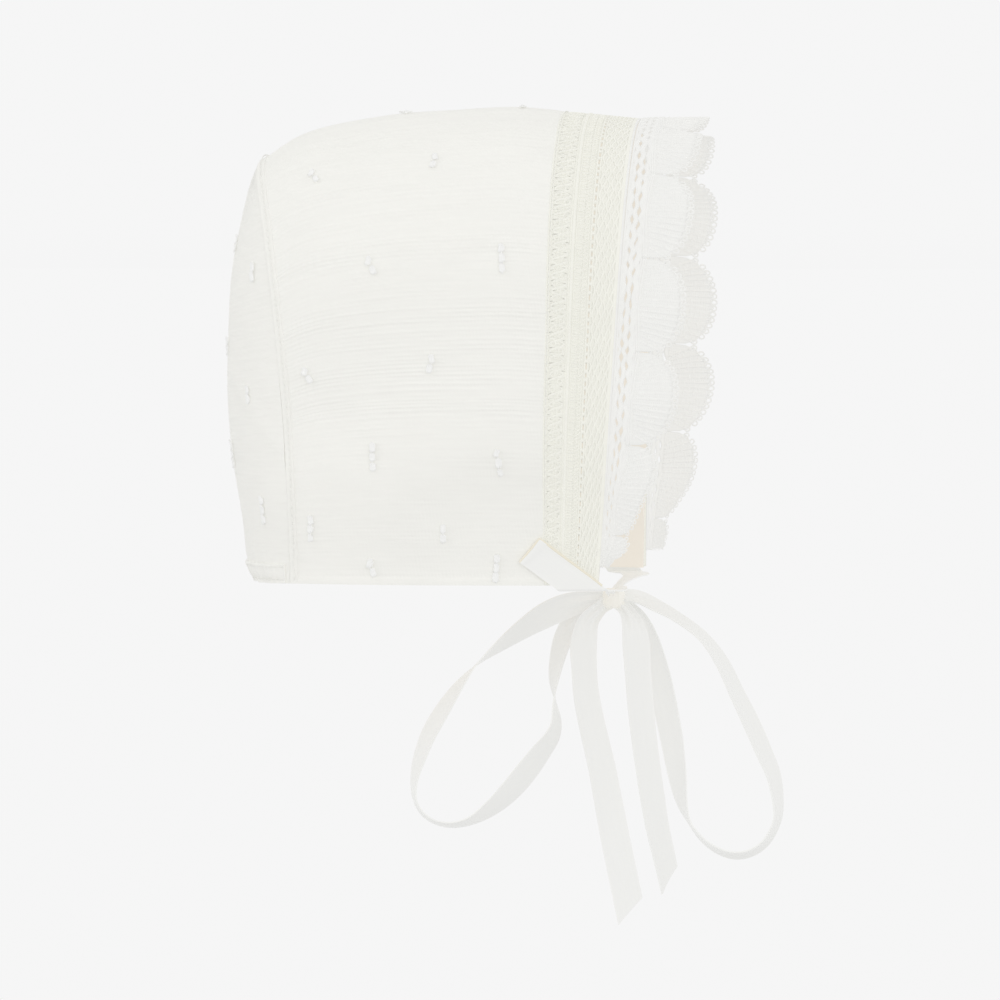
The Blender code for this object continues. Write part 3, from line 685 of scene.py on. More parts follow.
class Value:
    """A socket in a node tree. Arithmetic on it adds the nodes that work it out."""

    def __init__(self, nodes, socket):
        self.nodes, self.socket = nodes, socket

    def maths(self, operation, *values):
        return self.nodes.node("ShaderNodeMath", {"operation": operation}, dict(enumerate(values)))

    def __add__(self, other):
        return self.maths("ADD", self, other)

    def __sub__(self, other):
        return self.maths("SUBTRACT", self, other)

    def __mul__(self, other):
        return self.maths("MULTIPLY", self, other)

    def __truediv__(self, other):
        return self.maths("DIVIDE", self, other)

    def __pow__(self, other):
        return self.maths("POWER", self, other)

    def __rsub__(self, other):
        return self.maths("SUBTRACT", other, self)

    __radd__ = __add__
    __rmul__ = __mul__

    def sine(self):
        return self.maths("SINE", self)

    def turns(self, pitch):
        """The angle of a wave of that pitch, in metres."""
        return self * (2 * math.pi / pitch)

    def held(self, low=0.0, high=1.0):
        return self.maths("MINIMUM", self.maths("MAXIMUM", self, low), high)


class Nodes:
    """A node tree in the making."""

    def __init__(self, tree):
        self.tree = tree

    def node(self, kind, settings=None, inputs=None, output=0):
        """Adds a node, with its settings first and then the values or links of its sockets."""
        made = self.tree.nodes.new(kind)
        for key, value in (settings or {}).items():
            setattr(made, key, value)
        for key, value in (inputs or {}).items():
            self.feed(made.inputs[key], value)
        return Value(self, made.outputs[output])

    def feed(self, socket, value):
        if isinstance(value, Value):
            self.tree.links.new(value.socket, socket)
        else:
            socket.default_value = value

    def blended(self, share, low, high):
        """A colour between two colours."""
        ends = [colour if isinstance(colour, Value) else (*colour, 1.0) for colour in (low, high)]
        return self.node("ShaderNodeMix", {"data_type": "RGBA"}, {0: share, 6: ends[0], 7: ends[1]}, 2)


class Finish(Nodes):
    """A material in the making."""

    def __init__(self, name):
        self.material = bpy.data.materials.new(name)
        self.material.use_nodes = True
        super().__init__(self.material.node_tree)
        self.shader = self.tree.nodes["Principled BSDF"]

    def cloth_place(self):
        """The two directions on the flat cloth, in metres."""
        split = {"Vector": self.node("ShaderNodeUVMap", {"uv_map": CLOTH_MAP})}
        return [self.node("ShaderNodeSeparateXYZ", None, split, output) for output in (0, 1)]

    def noise(self, across, along, scale=1.0, detail=2.0):
        """Noise over the flat cloth, stretched by what its two directions were multiplied by."""
        place = self.node("ShaderNodeCombineXYZ", None, {0: across, 1: along})
        return self.node("ShaderNodeTexNoise", None, {"Vector": place, "Scale": scale, "Detail": detail})

    def solid_noise(self, scale, detail=2.0):
        place = self.node("ShaderNodeTexCoord", None, None, "Object")
        return self.node("ShaderNodeTexNoise", None, {"Vector": place, "Scale": scale, "Detail": detail})

    def relief(self, height, strength, distance):
        bump = {"Height": height, "Strength": strength, "Distance": distance}
        self.feed(self.shader.inputs["Normal"], self.node("ShaderNodeBump", None, bump))

    def cloth(self, share, colour, shades, painted_glow, roughness, sheen, gloss):
        """Thin cloth between two shades of a colour. The share given after the shades is painted as glow:
        emission that stands in for light shining from behind the cloth, and lifts its shade.
        """
        low, high = (shade(colour, part) for part in shades)
        tone = self.blended(share, low, high)
        # back is the colour of the painted glow: the cloth's two shades, dimmed a little.
        back = self.blended(share, shade(low, PAINTED_GLOW_LEVEL), shade(high, PAINTED_GLOW_LEVEL))
        dark = (0.0, 0.0, 0.0)
        # Painted light: the glow share of the colour moves from the base colour into emission, so the cloth
        # glows evenly whatever light falls on it.
        return self.set(
            Base_Color=self.blended(painted_glow, tone, dark),
            Emission_Color=self.blended(painted_glow, dark, back),
            Emission_Strength=1.0,
            Roughness=roughness,
            Sheen_Weight=sheen,
            Specular_IOR_Level=gloss,
        )

    def set(self, **values):
        for key, value in values.items():
            self.feed(self.shader.inputs[key.replace("_", " ")], value)
        return self.material


def shade(colour, share):
    return tuple(channel * share for channel in colour)


def gauze_finish(colour):
    """Matt cotton gauze: fine crossed threads, with slubs along the rows."""
    finish = Finish("gauze")
    across, along = finish.cloth_place()
    warp = across.turns(0.00042).sine()
    weft = along.turns(0.00046).sine()
    slubs = finish.noise(across * 900.0, along * 60.0)
    mottle = finish.noise(across * 60.0, along * 40.0)
    tone = (slubs * 0.6 + mottle * 0.4).held()
    finish.relief(warp * 0.25 + weft * 0.25 + slubs * 1.4, 0.55, 0.00012)
    # A tenth of the gauze's colour is painted as glow.
    return finish.cloth(tone, colour, (0.955, 1.03), 0.10, roughness=0.92, sheen=0.15, gloss=0.2)


def dot_finish(colour):
    """Clipped cotton threads, whiter than the gauze."""
    finish = Finish("clipped_thread")
    tone = finish.solid_noise(900.0)
    # About a third of the dots' colour is painted as glow.
    return finish.cloth(tone, colour, (0.97, 1.02), 0.35, roughness=0.95, sheen=0.3, gloss=0.15)


def lining_finish(colour):
    """Smooth fine cotton."""
    finish = Finish("lining")
    across, along = finish.cloth_place()
    weave = across.turns(0.00036).sine() + along.turns(0.00036).sine()
    mottle = finish.noise(across * 45.0, along * 45.0, 1.0, 3.0)
    finish.relief(weave * 0.25 + mottle * 1.5, 0.4, 0.00012)
    # Nearly half of the lining's colour is painted as glow, which lifts the shade inside the bonnet.
    return finish.cloth(mottle, colour, (0.96, 1.02), 0.45, roughness=0.8, sheen=0.1, gloss=0.25)


def lace_finish(name, colour, painted_glow):
    """Twisted cotton thread."""
    finish = Finish(name)
    along, around = finish.cloth_place()
    twist = (along.turns(0.0009) + around * 6000.0).sine()
    tone = finish.solid_noise(260.0)
    finish.relief(twist, 0.5, 0.00008)
    return finish.cloth(tone, colour, (0.955, 1.02), painted_glow, roughness=0.88, sheen=0.15, gloss=0.25)


def mesh_finish(name, colour, painted_glow):
    """Close lace: fine threads that cross in zigzags, with dots of shade between them."""
    finish = Finish(name)
    first, second = finish.cloth_place()
    zigzag = first.turns(0.0013).sine()
    threads = (second.turns(0.0007) + zigzag * 1.8).sine()
    finish.relief(threads * 0.6 + zigzag * 0.4, 0.6, 0.00016)
    tone = (0.62 + threads * 0.25 + zigzag * 0.13).held()
    return finish.cloth(tone, colour, (0.95, 1.01), painted_glow, roughness=0.9, sheen=0.1, gloss=0.2)


def ribbon_finish(name, colour, painted_glow=0.34):
    """Satin ribbon: fine threads along it and a woven edge on both sides."""
    finish = Finish(name)
    along, across = finish.cloth_place()
    threads = finish.noise(along * 30.0, across * 1400.0)
    edge = ((across * across) * (1 / (RIBBON_WIDTH / 2) ** 2)) ** 8.0
    finish.relief(threads * 0.4 + edge * 0.7, 0.12, 0.00012)
    tone = (threads * 0.5 + edge * 0.5).held()
    roughness = (0.46 + threads * 0.12 + edge * 0.15).held(0.3, 0.9)
    # By default 0.34 of the ribbon's colour is painted as glow, which lifts the shade of the loops.
    return finish.cloth(tone, colour, (0.97, 1.02), painted_glow, roughness, sheen=0.1, gloss=0.4)


def floor_finish(colour, glow):
    """A pale floor, lit so evenly that it meets the backdrop without a line."""
    finish = Finish("floor")
    finish.feed(finish.shader.inputs["Emission Color"], (*colour, 1.0))
    dark = (0.0, 0.0, 0.0, 1.0)
    return finish.set(Base_Color=dark, Roughness=1.0, Specular_IOR_Level=0.0, Emission_Strength=glow)


# Gauze


def crown_places(low, high, rows, columns):
    """A strip of the crown: places around and along, and lengths from the top and behind the front."""
    around = np.linspace(-1.0, 1.0, rows)[:, None]
    across = np.linspace(0.0, 1.0, columns)[None, :]
    behind = mix(low(around), high(around), across)
    along = np.clip(behind / depth_at(around), 0.0, 1.0)
    around, along = np.broadcast_arrays(around, along)
    return around, along, around * FRONT_LENGTH, behind


def slubs(walked, beside, pitch, seed):
    """Irregular ridges that follow each other over walked, and swell and thin over beside."""
    stray = 0.42 * drift(seed, walked / 0.005) + 0.16 * drift(seed + 1, walked / 0.004, beside / 0.035)
    phase = walked / pitch + stray
    ridge = (0.5 + 0.5 * np.cos(2 * math.pi * phase)) ** 1.3
    size = 0.5 + 0.5 * drift(seed + 2, np.round(phase), beside / 0.016)
    run = 0.5 + 0.5 * drift(seed + 3, np.round(phase) * 0.37)
    return ridge * mix(0.25, 1.0, ease(size)) * mix(0.45, 1.0, run)


def crease_height(crease, around, behind):
    """How high a narrow fold stands at places of the crown."""
    start = np.array([crease.around * FRONT_LENGTH, crease.behind])
    end = np.array([crease.to_around * FRONT_LENGTH, crease.to_behind])
    place = np.stack(np.broadcast_arrays(np.abs(around) * FRONT_LENGTH, behind), -1)
    going = end - start
    share = np.clip(((place - start) @ going) / (going @ going), 0.0, 1.0)
    away = np.linalg.norm(place - start - share[..., None] * going, axis=-1)
    height = np.where(np.sign(around) == crease.side, crease.height, 0.0) * ease(share / 0.3)
    return height * np.exp(-((away / crease.width) ** 2))


def make_crown_gauze(sizes, finish):
    rows, columns = 1140, 29
    around, along, walked, behind = crown_places(lambda a: band_width(a) - 0.0009, depth_at, rows, columns)
    from_band = behind - band_width(around)
    clear = mix(1.0, 0.30, ease((np.abs(around) - 0.64) / 0.16))
    height = OUTER - GAUZE_SINK + sizes.rib_height * slubs(walked, behind, sizes.rib_pitch, 11) * clear
    height = height + 0.00016 * drift(21, walked / 0.017, behind / 0.022)
    height = height + 0.00065 * hump(from_band, 0.0011, 0.0011)
    height = height - 0.00040 * ease((-0.0002 - from_band) / 0.0008)
    height = height + 0.00030 * ease((np.abs(around) - 0.984) / 0.008)
    for crease in CREASES:
        height = height + crease_height(crease, around, behind)
    outer = over_crown(around, along, height)
    inner = over_crown(around, along, np.full_like(height, GAUZE_INNER))
    piece = cloth_piece("crown_gauze", "crown_panel", "gauze", finish, outer, inner, walked, behind)
    flat = flat_size(over_crown(around, along, OUTER))


def beside_middle(swing):
    """About how far a place of the back lies from its middle, on the flat cloth."""
    return swing * math.radians(BACK_ARC) * HALF_WIDTH * 0.8


def back_places(rows, columns, start=BACK_START, turn=BACK_TURN):
    share = np.linspace(start, 1.0, rows)[:, None]
    swing = np.linspace(-turn, turn, columns)[None, :]
    share, swing = np.broadcast_arrays(share, swing)
    return share, swing, share * SEAM_LENGTH, beside_middle(swing)


def gathers(share, swing, fade):
    """Soft pleats that run up the back from its gathered hem."""
    above = (1.0 - share) * SEAM_LENGTH
    stray = 0.5 * drift(31, swing * 6.0)
    pleat = 0.5 - 0.5 * np.cos(math.pi * swing * GATHER_COUNT + stray)
    return pleat * (1 - swing**2) * np.exp(-((above / fade) ** 1.5))


def make_back_gauze(sizes, finish):
    share, swing, walked, beside = back_places(400, 52, 0.02, BACK_GAUZE_TURN)
    clear = mix(1.0, 0.35, ease((share - 0.62) / 0.2))
    height = OUTER - GAUZE_SINK + 0.6 * sizes.rib_height * slubs(walked, beside, sizes.rib_pitch, 41) * clear
    height = height + 0.00020 * drift(51, walked / 0.018, beside / 0.016)
    height = height + 0.0007 * gathers(share, swing, 0.022)
    fold = (walked - 0.118 + 0.9 * (beside + 0.052)) / 0.0045
    height = height + 0.00045 * np.exp(-(fold**2)) * ease((-swing - 0.25) / 0.3)
    outer = over_back(share, swing, height)
    inner = over_back(share, swing, np.full_like(height, GAUZE_INNER))
    piece = cloth_piece("back_gauze", "back_panel", "gauze", finish, outer, inner, walked, beside)
    flat = flat_size(over_back(share, swing, OUTER))


# Raised dots


def dot_clump(shape, centre, down, out, rng, length, thickness):
    """A small brush of clipped threads that lies along the cloth and stands up a little at its ends."""
    many, steps = 15, 6
    side = np.cross(out, down)
    t = np.linspace(-1.0, 1.0, steps)
    lean = np.linspace(-1.0, 1.0, many)[:, None] + rng.uniform(-0.2, 0.2, (many, 1))
    reach = length * rng.uniform(0.80, 1.15, (many, 1)) * (1 - 0.35 * lean**2)
    beside = thickness * 4.6 * lean * (0.75 + 0.25 * t**2)
    rise = 0.35 + 0.5 * np.abs(t) ** 1.6 * rng.uniform(0.4, 1.0, (many, 1))
    height = thickness * 3.4 * rise * (1.05 - 0.5 * np.clip(lean**2, 0.0, 1.2))
    height = height + 0.00012 * rng.uniform(size=(many, 1))
    routes = centre + down * (0.5 * reach * t)[..., None]
    routes = routes + side * beside[..., None] + out * height[..., None]
    radius = thickness * mix(1.25, 0.85, np.abs(t) ** 3)
    shape.threads(routes, np.broadcast_to(radius, (many, steps)), sides=5)


def dot_at(shape, surface, out_at, u, v, step, rng, sizes):
    """A dot of two or three clumps, one below the other along the first direction of a surface."""
    clumps = 2 if rng.uniform() < 0.55 else 3
    spacing, slant = sizes.dot_length * 0.47, rng.normal() * 0.0006
    for k in range(clumps):
        shift = (k - (clumps - 1) / 2) * spacing / step
        aside = (k - (clumps - 1) / 2) * slant * 12.0 + rng.normal() * 0.0004
        place = surface(u + shift, v + aside, OUTER + 0.0001)
        ahead = surface(u + shift + 0.01, v, OUTER)
        out = out_at(u + shift, v)
        down = unit(ahead - place)
        size = sizes.dot_length * rng.uniform(0.40, 0.52)
        dot_clump(shape, place, down, out, rng, size, sizes.dot_thread * rng.uniform(0.9, 1.1))


def make_dots(sizes, finish):
    rng = np.random.default_rng(7)
    shape = Shape()
    for row in CROWN_DOTS:
        for k in range(-3, 3):
            x = DOT_X + DOT_PITCH * k + row.forward + rng.normal() * 0.0012
            around = row.around + rng.normal() * 0.006
            depth = float(depth_at(around))
            behind = float(front_x(around)) - x
            if not float(band_width(around)) + 0.004 < behind < depth - SEAM_WIDTH - 0.003:
                continue
            if abs(around) > 0.975:
                around = math.copysign(0.968, around)
            dot_at(shape, over_crown, crown_out, around, behind / depth, FRONT_LENGTH, rng, sizes)
    for row in BACK_DOTS:
        half = float(np.abs(crown(row.around, 1.0)[1]))
        for k in range(-2, 3):
            y = DOT_PITCH * k + row.forward
            if abs(y) > DOT_LIMIT * half:
                continue
            swing = math.asin(y / half * math.sin(math.radians(BACK_ARC))) / math.radians(BACK_ARC)
            dot_at(shape, over_back, back_out, row.around, swing, SEAM_LENGTH, rng, sizes)
    dress(shape.make("cloth_dots", finish), "gauze")


# Seams and stitches


def stitch_line(shape, line, out, pitch, length, radius, height):
    """Running stitches along a line of points, with the direction out of the cloth at each."""
    walked = lengths(line)
    count = int(walked[-1] / pitch)
    starts = (np.arange(count) + 0.25) * pitch
    t = np.linspace(0.0, 1.0, 5)
    at = starts[:, None] + length * t
    place = np.stack([np.interp(at, walked, line[:, k]) for k in range(3)], -1)
    facing = unit(np.stack([np.interp(at, walked, out[:, k]) for k in range(3)], -1))
    rise = height * (np.sin(math.pi * t) ** 0.5) - radius
    shape.threads(place + facing * rise[None, :, None], radius, sides=5)


def make_seam(finish):
    """The crown's back edge, folded and sewn down over the panel, round the corner between them."""
    rows, columns, corner = 520, 10, 5
    around, along, walked, behind = crown_places(lambda a: depth_at(a) - SEAM_WIDTH, depth_at, rows, columns)
    across = np.linspace(0.0, 1.0, columns)[None, :]
    roll = ease((across + 0.02) / 0.30) ** 0.6
    groove = 0.00012 * hump(across, 0.50, 0.13) * (0.75 + 0.25 * np.cos(2 * math.pi * walked / STITCH_PITCH))
    soft = 0.00008 * drift(61, walked / 0.004, behind / 0.002)
    low = OUTER - 0.0001
    height = low + 0.00044 * roll - groove + soft
    edge = around[:, -1:]
    turn = np.linspace(0.0, 1.0, corner + 1)[None, 1:]
    first = crown_out(edge, 1.0)
    last = back_out(np.abs(edge), 0.99 * np.sign(edge))
    facing = unit(first * (1 - turn)[..., None] + last * turn[..., None])
    bend = mix(height[:, -1:], low - 0.0002, ease(turn * 1.05))
    under = np.full_like(height, low - 0.0003)
    corner_outer = crown(edge, 1.0) + facing * bend[..., None]
    corner_inner = crown(edge, 1.0) + facing * under[:, -1:, None]
    outer = np.concatenate([over_crown(around, along, height), corner_outer], axis=1)
    inner = np.concatenate([over_crown(around, along, under), corner_inner], axis=1)
    beyond = np.concatenate([behind, behind[:, -1:] + turn * 0.0018], axis=1)
    piece = cloth_piece("seam_fold", "back_seam", "gauze", finish, outer, inner, walked[:, :1], beyond)


def casing_pleats(swing):
    """How far the casing's gathers stand out."""
    return GATHER_DEPTH * (1 - swing**2) * (0.5 - 0.5 * np.cos(math.pi * swing * GATHER_COUNT))


def make_casing(finish):
    """The gathered casing at the nape, with a rolled edge above and below."""
    rows, columns = 18, 340
    end = CASING_TURN
    share = np.linspace(1.0 - CASING_HEIGHT / SEAM_LENGTH, 1.0, rows)[:, None]
    swing = np.linspace(-end, end, columns)[None, :]
    share, swing = np.broadcast_arrays(share, swing)
    down = np.linspace(0.0, 1.0, rows)[:, None]
    stray = 2.0 * drift(71, swing * 9)
    small = 0.00020 * (1 - swing**2) * np.cos(math.pi * swing * GATHER_COUNT * 4 + stray)
    drawn = 0.00030 * hump(down, 0.78, 0.10) + 0.00014 * hump(down, 0.24, 0.10)
    raised = (0.0006 + casing_pleats(swing) + small - drawn) * ease((down + 0.08) / 0.16)
    height = OUTER + 0.0001 + raised * mix(0.45, 1.0, ease((end - np.abs(swing)) / 0.16))
    outer = over_back(share, swing, height)
    inner = over_back(share, swing, np.full_like(height, OUTER - 0.0002))
    walked, beside = share * SEAM_LENGTH, beside_middle(swing)
    piece = cloth_piece("nape_gathers", "nape_casing", "gauze", finish, outer, inner, walked, beside)


def make_stitches(sizes, finish):
    """Rows of stitches: the seam's, the casing's two, the band's and the one inside the lining's edge."""
    radius = sizes.stitch_thread
    shape = Shape()
    around = np.linspace(-0.995, 0.995, 900)
    along = 1 - 0.64 * SEAM_WIDTH / depth_at(around)
    line = over_crown(around, along, TRIM + 0.0006)
    stitch_line(shape, line, crown_out(around, along), STITCH_PITCH, 0.0019, radius, 0.00022)
    swing = np.linspace(0.01 - CASING_TURN, CASING_TURN - 0.01, 500)
    for level in (0.12, 0.80):
        share = np.full_like(swing, 1.0 - CASING_HEIGHT * (1 - level) / SEAM_LENGTH)
        line = over_back(share, swing, TRIM + 0.0004 + casing_pleats(swing))
        stitch_line(shape, line, back_out(share, swing), STITCH_PITCH, 0.0018, radius, 0.0002)
    along = (band_width(around) - 0.0008) / depth_at(around)
    line = over_crown(around, along, LAYER_GAP + LAYER - 0.0001)
    stitch_line(shape, line, crown_out(around, along), BAND_STITCH_PITCH, 0.0020, radius, 0.0003)
    along = 0.0068 / depth_at(around)
    line = over_crown(around, along, -0.00075)
    stitch_line(shape, line, -crown_out(around, along), BAND_STITCH_PITCH, 0.0020, radius, 0.0002)
    dress(shape.make("stitches", finish), "gauze")


# Lining


def make_linings(finish):
    """The smooth inner layer: the crown's, with its front edge turned in, and the back panel's."""
    around, along, walked, behind = crown_places(np.zeros_like, lambda a: depth_at(a) - 0.0019, 260, 46)
    turned = 0.00030 * (1 - ease((behind - 0.0060) / 0.0006)) + 0.00018 * hump(behind, 0.0006, 0.0007)
    soft = 0.00022 * drift(81, walked / 0.016, behind / 0.020)
    soft = soft + 0.00010 * drift(82, walked / 0.006, behind / 0.009)
    hem = 0.00030 * ease((np.abs(around) - 0.972) / 0.004)
    fold = sum(crease_height(crease, around, behind) for crease in LINING_FOLDS)
    depth = LINING_DEPTH + turned + soft + hem + fold
    outer = over_crown(around, along, np.full_like(depth, LINING_OUTER))
    inner = over_crown(around, along, -depth)
    piece = cloth_piece("crown_lining", "lining", "lining", finish, outer, inner, walked, behind)
    share, swing, walked, beside = back_places(120, 44)
    soft = 0.00024 * drift(91, walked / 0.015, beside / 0.012)
    depth = LINING_DEPTH + soft + 0.0004 * gathers(share, swing, 0.018)
    outer = over_back(share, swing, np.full_like(depth, LINING_OUTER))
    inner = over_back(share, swing, -depth)
    piece = cloth_piece("back_lining_cloth", "back_lining", "lining", finish, outer, inner, walked, beside)


# Lace band


def over_band(walked, share, height):
    """A place on the band, by length from the top, share of its width, and height over the lining."""
    walked, share, height = np.broadcast_arrays(np.asarray(walked, float), share, height)
    around = np.clip(walked / FRONT_LENGTH, -1.0, 1.0)
    along = share * band_width(around) / depth_at(around)
    return over_crown(around, along, height), crown_out(around, along)


class BandLace:
    """Threads laid over the band, each as a route of lengths from the top and shares of the band's width."""

    def __init__(self):
        self.shape = Shape()
        self.half = FRONT_LENGTH - 0.0004

    def lay(self, walked, share, radius, flat=0.7, sides=5, lift=0.0):
        walked, share = np.broadcast_arrays(np.atleast_2d(walked), np.atleast_2d(share))
        tall = radius * flat
        top = LAYER_GAP + 0.00062 + np.asarray(lift)
        level = np.broadcast_to(top - tall * 0.2, walked.shape)
        place, out = over_band(np.clip(walked, -self.half, self.half), share, level)
        self.shape.threads(place, radius, sides=sides, out=out, flat=flat)

    def cord(self, share, radius, lift=0.0, flat=0.8, steps=420):
        self.lay(np.linspace(-self.half, self.half, steps), share, radius, flat, 6, lift)

    def wave(self, share, swing, period, radius, shift=0.0, per=8, flat=0.7, lift=0.0):
        """One thread that swings to and fro across the band."""
        steps = round(2 * self.half / period * per)
        walked = np.linspace(-self.half, self.half, steps)
        phase = 2 * math.pi * (walked / period + shift)
        stray = 0.10 * swing * drift(97, walked / 0.004, share * 50)
        route = share + swing * np.cos(phase) + stray
        self.lay(walked, route, radius, flat, 5, lift + 0.00012 * np.sin(phase))

    def bars(self, low, high, pitch, radius, lean=0.0, bend=0.0, flat=0.8, lift=0.0):
        """Short threads across the band."""
        count = round(2 * self.half / pitch)
        starts = np.linspace(-self.half + pitch, self.half - pitch, count)[:, None]
        t = np.linspace(0.0, 1.0, 5)[None, :]
        stray = 0.25 * pitch * drift(98, starts / pitch * 0.9, low * 30)
        walked = starts + stray + lean * (t - 0.5) + bend * np.sin(math.pi * t)
        self.lay(walked, mix(low, high, t), radius, flat, 5, lift)

    def rings(self, share, size, pitch, radius, shift=0.0, wide=1.0, lift=0.0002):
        """Small closed loops of thread in a row."""
        count = int(2 * self.half / pitch) - 1
        middle = (np.arange(count) - (count - 1) / 2 + shift)[:, None] * pitch
        angle = np.linspace(0.0, 2 * math.pi, 11)[None, :-1]
        walked = middle + size * np.cos(angle)
        across = share + size * wide * np.sin(angle) / BAND_WIDTH
        place, out = over_band(walked, across, LAYER_GAP + 0.0006 + lift)
        self.shape.threads(place, radius, sides=5, out=out, flat=0.8, ring=True)


def make_band_ground(finish):
    """The close mesh that the band's threads are worked on, with a slot under the ladder."""
    shape = Shape()
    for low, high in ((0.0, LADDER[0]), (LADDER[1], 0.99)):
        walked = np.linspace(-FRONT_LENGTH, FRONT_LENGTH, 400)[:, None]
        share = np.linspace(low, high, max(8, round(24 * (high - low))))[None, :]
        walked, share = np.broadcast_arrays(walked, share)
        relief = 0.00010 * np.cos(2 * math.pi * walked / 0.0025) * np.cos(2 * math.pi * share * 12)
        height = LAYER_GAP + 0.00042 + relief
        outer, _ = over_band(walked, share, height)
        inner, _ = over_band(walked, share, np.full_like(height, LAYER_GAP + 0.0001))
        shape.sheet(outer, inner, np.stack([walked, share * BAND_WIDTH], -1))
    return dress(shape.make("band_ground", finish), "lace")


def make_band(sizes, finish, ground_finish):
    """The lace sewn flat round the face: a scroll strip, a raised cord, a ladder and a gathered edge."""
    ground = make_band_ground(ground_finish)
    length = round(2 * FRONT_LENGTH, 3)
    lace = BandLace()
    fine, thread, thick = (sizes.lace_thread * share for share in (0.62, 1.0, 1.7))
    for share in (0.985, 0.955, 0.675):
        lace.cord(share, thread)
    for shift in (0.0, 0.5):
        lace.wave(0.815, 0.105, sizes.scroll_period, thick, shift, per=12, flat=0.42)
        lace.wave(0.815, 0.125, sizes.scroll_period, thread, shift + 0.06, per=10, flat=0.6)
    lace.wave(0.815, 0.125, 0.0017, fine, per=4)
    lace.rings(0.872, 0.00085, sizes.scroll_period, thread, 0.0, lift=0.00012)
    lace.rings(0.758, 0.00085, sizes.scroll_period, thread, 0.5, lift=0.00012)
    lace.rings(0.815, 0.00060, sizes.scroll_period / 2, fine, 0.25)
    lace.cord(0.640, thick * 1.3, lift=0.00020, flat=0.75)
    lace.cord(0.600, thread)
    lace.bars(0.600, 0.500, 0.00125, thread, lean=0.0003)
    lace.bars(0.600, 0.500, 0.00250, thread, lean=-0.0005, bend=0.0003, lift=0.00010)
    for shift in (0.0, 0.5):
        lace.wave(0.455, 0.036, 0.0026, thread, shift, per=8)
    lace.cord(LADDER[1] + 0.008, thread, lift=0.0001)
    lace.bars(LADDER[1], LADDER[0], 0.0029, thick * 2.1, flat=0.3, bend=0.0002)
    lace.cord(LADDER[0] - 0.008, thread, lift=0.0001)
    for row, share in enumerate(np.linspace(LADDER[0] - 0.045, 0.05, 6)):
        lace.wave(share, 0.016, sizes.net_period, thick, 0.37 * row, per=6, flat=0.40)
    lace.cord(0.004, thick * 1.7, flat=0.35)
    piece = dress(lace.shape.make("band_lace", finish), "lace", "lace_band")


# Lace ruffle


class RuffleLace:
    """Threads laid over the ruffle, each as a route of fans from the top and lengths from the heading."""

    def __init__(self):
        self.shape = Shape()
        self.sink = -0.0005  # half the lace's thickness under its outer face

    def place(self, fan, across, lift=0.0):
        fan = np.clip(fan, -RUFFLE_FANS, RUFFLE_FANS)
        fan, across, lift = np.broadcast_arrays(fan, across, lift)
        here = over_ruffle(fan, across, self.sink + lift)
        out = unit(over_ruffle(fan, across, self.sink + lift + 0.001) - here)
        return here, out

    def lay(self, fan, across, radius, flat=0.7, sides=5, lift=0.0, ring=False):
        fan, across = np.broadcast_arrays(np.atleast_2d(fan), np.atleast_2d(across))
        here, out = self.place(fan, across, np.broadcast_to(lift, fan.shape))
        radius = radius * narrowing(fan) ** 0.6
        self.shape.threads(here, radius, sides=sides, out=out, flat=flat, ring=ring)

    def edge(self, across, radius, flat=0.8, steps=460, lift=0.0):
        self.lay(np.linspace(-RUFFLE_FANS, RUFFLE_FANS, steps), across, radius, flat, 5, lift)

    def wave(self, across, swing, per_fan, width, shift, seed):
        """A flat tape that swings unevenly along the lace, with a thread near both of its edges."""
        steps = round(2 * RUFFLE_FANS * per_fan * 8)
        fan = np.linspace(-RUFFLE_FANS, RUFFLE_FANS, steps)
        uneven = 1 + 0.45 * drift(seed, fan * per_fan * 0.9)
        phase = fan * per_fan + shift + 0.16 * drift(seed + 1, fan * 3)
        centre = across + swing * uneven * np.cos(2 * math.pi * phase)
        width = width * (1 + 0.26 * drift(seed + 4, fan * per_fan * 0.8))
        self.lay(fan, centre, width / 2, 0.24, 8)
        for side in (-0.33, 0.33):
            self.lay(fan, centre + side * width, width * 0.13, 0.9, 5, 0.00014)


def fan_place(fan, phase, share, base=FAN_BASE_SPREAD):
    """A place in a fan, from its base (0) to its scallop (1), in fans and length from the heading."""
    spread = mix(base, 1.0, share**0.85)
    reach = NET_WIDTH + fan_reach(phase) - 0.0012
    return fan + phase / 2 * spread, mix(NET_WIDTH - 0.0012, reach, share)


def make_webs(finish):
    """The close mesh that fills each fan between its ribs."""
    lace, shape = RuffleLace(), Shape()
    share = np.linspace(0.0, 0.97, 13)[None, :]
    whole = math.ceil(RUFFLE_FANS)
    for fan in range(-whole, whole + 1):
        low = max(-WEB_HALF, 2 * (-RUFFLE_FANS - fan) + 0.04)
        high = min(WEB_HALF, 2 * (RUFFLE_FANS - fan) - 0.04)
        if high - low < 0.2:
            continue
        phase = np.linspace(low, high, 49)[:, None]
        fans, across = fan_place(fan, phase, share, 1.0 / WEB_HALF)
        outer, _ = lace.place(fans, across, -0.00003)
        inner, _ = lace.place(fans, across, -0.00018)
        turn = np.broadcast_to(phase * 0.020, fans.shape)
        shape.sheet(outer, inner, np.stack([turn, across], -1))
    return dress(shape.make("fan_webs", finish), "lace")


